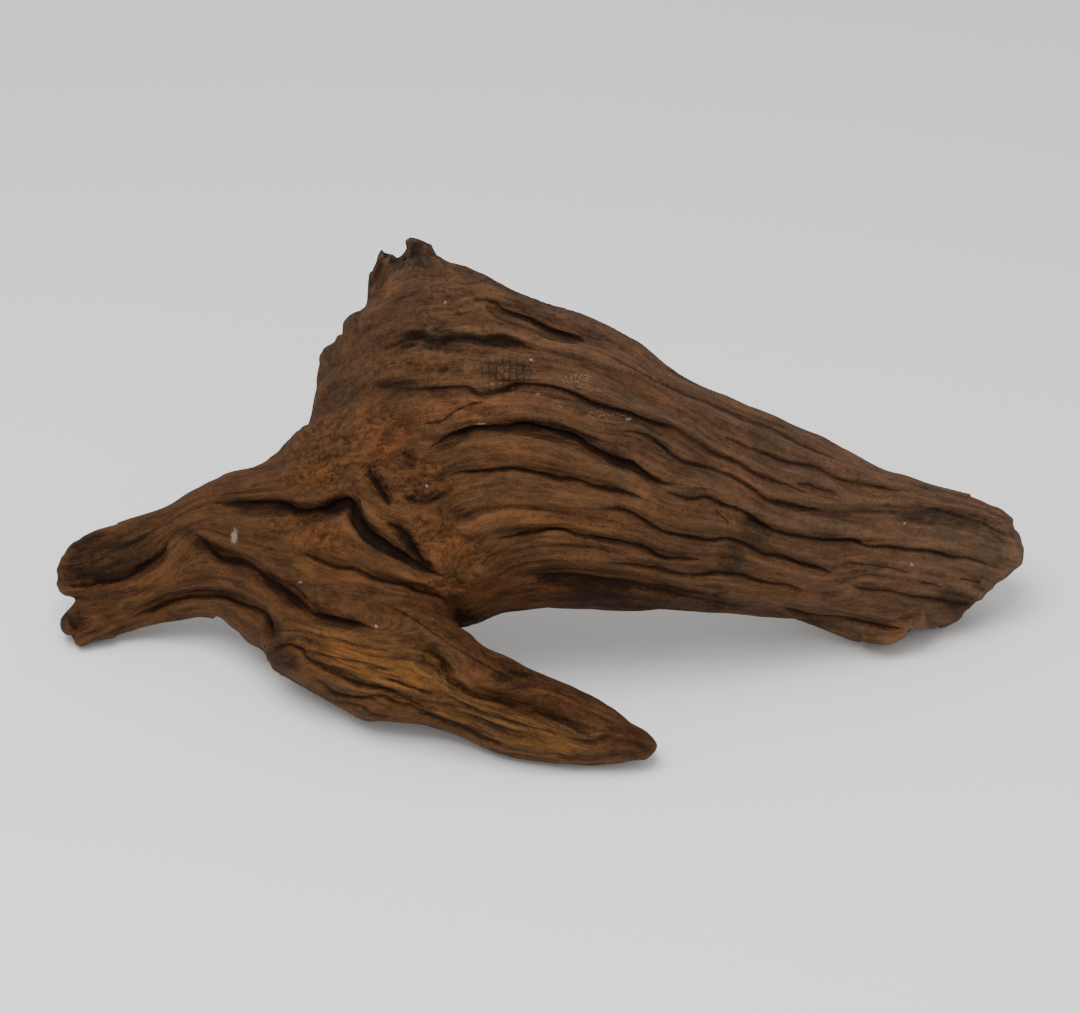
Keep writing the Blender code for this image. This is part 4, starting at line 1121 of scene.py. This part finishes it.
class RootSizes(bpy.types.PropertyGroup):
    """Sizes of the root's relief, in millimetres."""

    skin_step: bpy.props.FloatProperty(
        name="Skin step", description="Width of the skin's finest cells, in millimetres",
        default=0.8, min=0.4)
    most_triangles: bpy.props.IntProperty(
        name="Most triangles", description="Triangles that the finished skin may have",
        default=194000, min=20000)
    line_depth: bpy.props.FloatProperty(
        name="Line depth", description="Share of their full depth that the drawn lines have", default=0.3)
    groove_fill: bpy.props.FloatProperty(
        name="Groove fill", description="Share by which the solid's own grooves are made shallower",
        default=0.42)
    flute_depth: bpy.props.FloatProperty(
        name="Flute depth", description="Depth of the broad flutes, in millimetres", default=0.5)
    ridge_depth: bpy.props.FloatProperty(
        name="Ridge depth", description="Depth of the narrow ridges, in millimetres", default=0.42)
    fibre_depth: bpy.props.FloatProperty(
        name="Fibre depth", description="Depth of the raised fibres, in millimetres", default=0.2)
    burl_depth: bpy.props.FloatProperty(
        name="Burl depth", description="Height of the knobs of the burl, in millimetres", default=0.5)
    swell: bpy.props.FloatProperty(
        name="Swell", description="Swelling that makes up for the rounding, in millimetres", default=0.35)


class WoodFinish(bpy.types.PropertyGroup):
    """Colours of the wood."""

    wood_colour: bpy.props.FloatVectorProperty(
        name="Wood", description="Colour of the plain wood",
        subtype="COLOR", default=(0.060, 0.0282, 0.0115))
    ridge_colour: bpy.props.FloatVectorProperty(
        name="Ridges", description="Colour of worn ridges",
        subtype="COLOR", default=(0.100, 0.0520, 0.0246))
    # The ramp's darkest colour: dirt and painted shade in the grooves, the hollows and the drawn lines'
    # bottoms
    groove_dirt_and_shade_colour: bpy.props.FloatVectorProperty(
        name="Grooves", description="Colour in the grooves",
        subtype="COLOR", default=(0.0215, 0.0089, 0.0034))
    grey_colour: bpy.props.FloatVectorProperty(
        name="Greyed wood", description="Colour of greyed wood",
        subtype="COLOR", default=(0.081, 0.0474, 0.0231))
    warm_tint: bpy.props.FloatVectorProperty(
        name="Warm tint", description="Tint of the branch and limb side",
        subtype="COLOR", default=(0.88, 0.77, 0.635))
    cool_tint: bpy.props.FloatVectorProperty(
        name="Cool tint", description="Tint of the brow and the root's end",
        subtype="COLOR", default=(0.96, 1.02, 1.25), max=2.0)
    red_tint: bpy.props.FloatVectorProperty(
        name="Red tint", description="Tint of the redder patches",
        subtype="COLOR", default=(1.05, 0.97, 0.88), max=2.0)
    dull_tint: bpy.props.FloatVectorProperty(
        name="Dull tint", description="Tint of the duller patches",
        subtype="COLOR", default=(0.93, 1.01, 1.05), max=2.0)
    amber_tint: bpy.props.FloatVectorProperty(
        name="Amber tint", description="Tint of the warmer, brighter places",
        subtype="COLOR", default=(1.12, 0.95, 0.78), max=2.0)
    torn_colour: bpy.props.FloatVectorProperty(
        name="Torn wood", description="Colour of torn fibres",
        subtype="COLOR", default=(0.118, 0.0600, 0.0200))
    sand_colour: bpy.props.FloatVectorProperty(
        name="Sand", description="Colour of stuck sand", subtype="COLOR", default=(0.31, 0.265, 0.205))


class StudioSizes(bpy.types.PropertyGroup):
    """Sizes and colours of the studio."""

    floor_size: bpy.props.FloatProperty(
        name="Floor size", description="Length of the floor's side",
        default=12.0, subtype="DISTANCE", unit="LENGTH")
    floor_colour: bpy.props.FloatVectorProperty(
        name="Floor", description="Colour of the floor", subtype="COLOR", default=(0.90, 0.90, 0.90))
    key_power: bpy.props.FloatProperty(
        name="Key light", description="Power of the large light overhead",
        default=20.0, subtype="POWER", unit="POWER")
    fill_power: bpy.props.FloatProperty(
        name="Fill light", description="Power of the light beside the camera",
        default=4.2, subtype="POWER", unit="POWER")
    sky_light: bpy.props.FloatProperty(
        name="Room light", description="Strength of the even light all round", default=0.72)


def show(name, mesh, material):
    """Puts a finished mesh in the scene in place of the CAD node."""
    mesh.name = name
    mesh.materials.clear()
    mesh.materials.append(material)
    piece = bpy.data.objects.new(name, mesh)
    bpy.context.scene.collection.objects.link(piece)
    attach(piece, BODY)
    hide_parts(NODE)


class DRIFTWOOD_OT_root(bpy.types.Operator):
    """Carves the root's fine skin and gives it its wood"""

    bl_idname = "driftwood.root"
    bl_label = "Root"

    def execute(self, context):
        scene = context.scene
        mesh = finished_root(scene.driftwood_sizes)
        show("weathered_root", mesh, weathered_wood(scene.driftwood_finish))
        return {"FINISHED"}


def soft_light(name, power, place, target, size):
    """A large square light that looks at a point."""
    data = bpy.data.lights.new(name, "AREA")
    data.energy = power
    data.size = size
    light = bpy.data.objects.new(name, data)
    light.location = place
    light.rotation_euler = (Vector(target) - Vector(place)).to_track_quat("-Z", "Y").to_euler()
    bpy.context.scene.collection.objects.link(light)


class DRIFTWOOD_OT_studio(bpy.types.Operator):
    """Sets up the floor, the lights and the camera"""

    bl_idname = "driftwood.studio"
    bl_label = "Studio"

    def execute(self, context):
        studio = context.scene.driftwood_studio
        half = studio.floor_size / 2.0
        corners = [(-half, -half, 0.0), (half, -half, 0.0), (half, half, 0.0), (-half, half, 0.0)]
        mesh = bpy.data.meshes.new("studio_floor")
        mesh.from_pydata(corners, [], [(0, 1, 2, 3)])
        mesh.materials.append(plain_floor(studio.floor_colour))
        floor = bpy.data.objects.new("studio_floor", mesh)
        floor.location.z = -FLOOR_DROP
        context.scene.collection.objects.link(floor)
        soft_light("key_light", studio.key_power, KEY_PLACE, LIT_POINT, KEY_SIZE)
        soft_light("fill_light", studio.fill_power, FILL_PLACE, LIT_POINT, FILL_SIZE)
        world = bpy.data.worlds.new("studio_air")
        world.use_nodes = True
        air = world.node_tree.nodes["Background"].inputs
        air["Color"].default_value = (1.0, 1.0, 1.0, 1.0)
        air["Strength"].default_value = studio.sky_light
        context.scene.world = world

        data = bpy.data.cameras.new("photo_camera")
        data.sensor_width = SENSOR
        data.lens = SENSOR * EYE_DISTANCE / IMAGE_WIDTH
        camera = bpy.data.objects.new("photo_camera", data)
        camera.location = (Vector(SHIFT) + LEAN @ Vector((0.0, EYE_RISE, EYE_DISTANCE))) * MILLIMETRE
        camera.rotation_euler = (math.radians(90.0 - VIEW_RISE), 0.0, 0.0)
        context.scene.collection.objects.link(camera)
        context.scene.camera = camera
        return {"FINISHED"}


class DRIFTWOOD_PT_panel(bpy.types.Panel):
    """Lists the steps that make the root"""

    bl_label = "Driftwood root"
    bl_space_type = "VIEW_3D"
    bl_region_type = "UI"
    bl_category = "Driftwood"

    def draw(self, context):
        for operator in (DRIFTWOOD_OT_root, DRIFTWOOD_OT_studio):
            self.layout.operator(operator.bl_idname)
        for group in ("driftwood_sizes", "driftwood_finish", "driftwood_studio"):
            values = getattr(context.scene, group)
            box = self.layout.box()
            for name in values.__annotations__:
                box.prop(values, name)


CLASSES = (
    RootSizes, WoodFinish, StudioSizes, DRIFTWOOD_OT_root, DRIFTWOOD_OT_studio, DRIFTWOOD_PT_panel,
)


def register():
    for cls in CLASSES:
        bpy.utils.register_class(cls)
    bpy.types.Scene.driftwood_sizes = bpy.props.PointerProperty(type=RootSizes)
    bpy.types.Scene.driftwood_finish = bpy.props.PointerProperty(type=WoodFinish)
    bpy.types.Scene.driftwood_studio = bpy.props.PointerProperty(type=StudioSizes)


def unregister():
    del bpy.types.Scene.driftwood_studio
    del bpy.types.Scene.driftwood_finish
    del bpy.types.Scene.driftwood_sizes
    for cls in reversed(CLASSES):
        bpy.utils.unregister_class(cls)


def main():
    """Makes the root and the studio."""
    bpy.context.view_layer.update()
    register()
    bpy.ops.driftwood.root()
    bpy.ops.driftwood.studio()


if __name__ == "__main__":
    main()
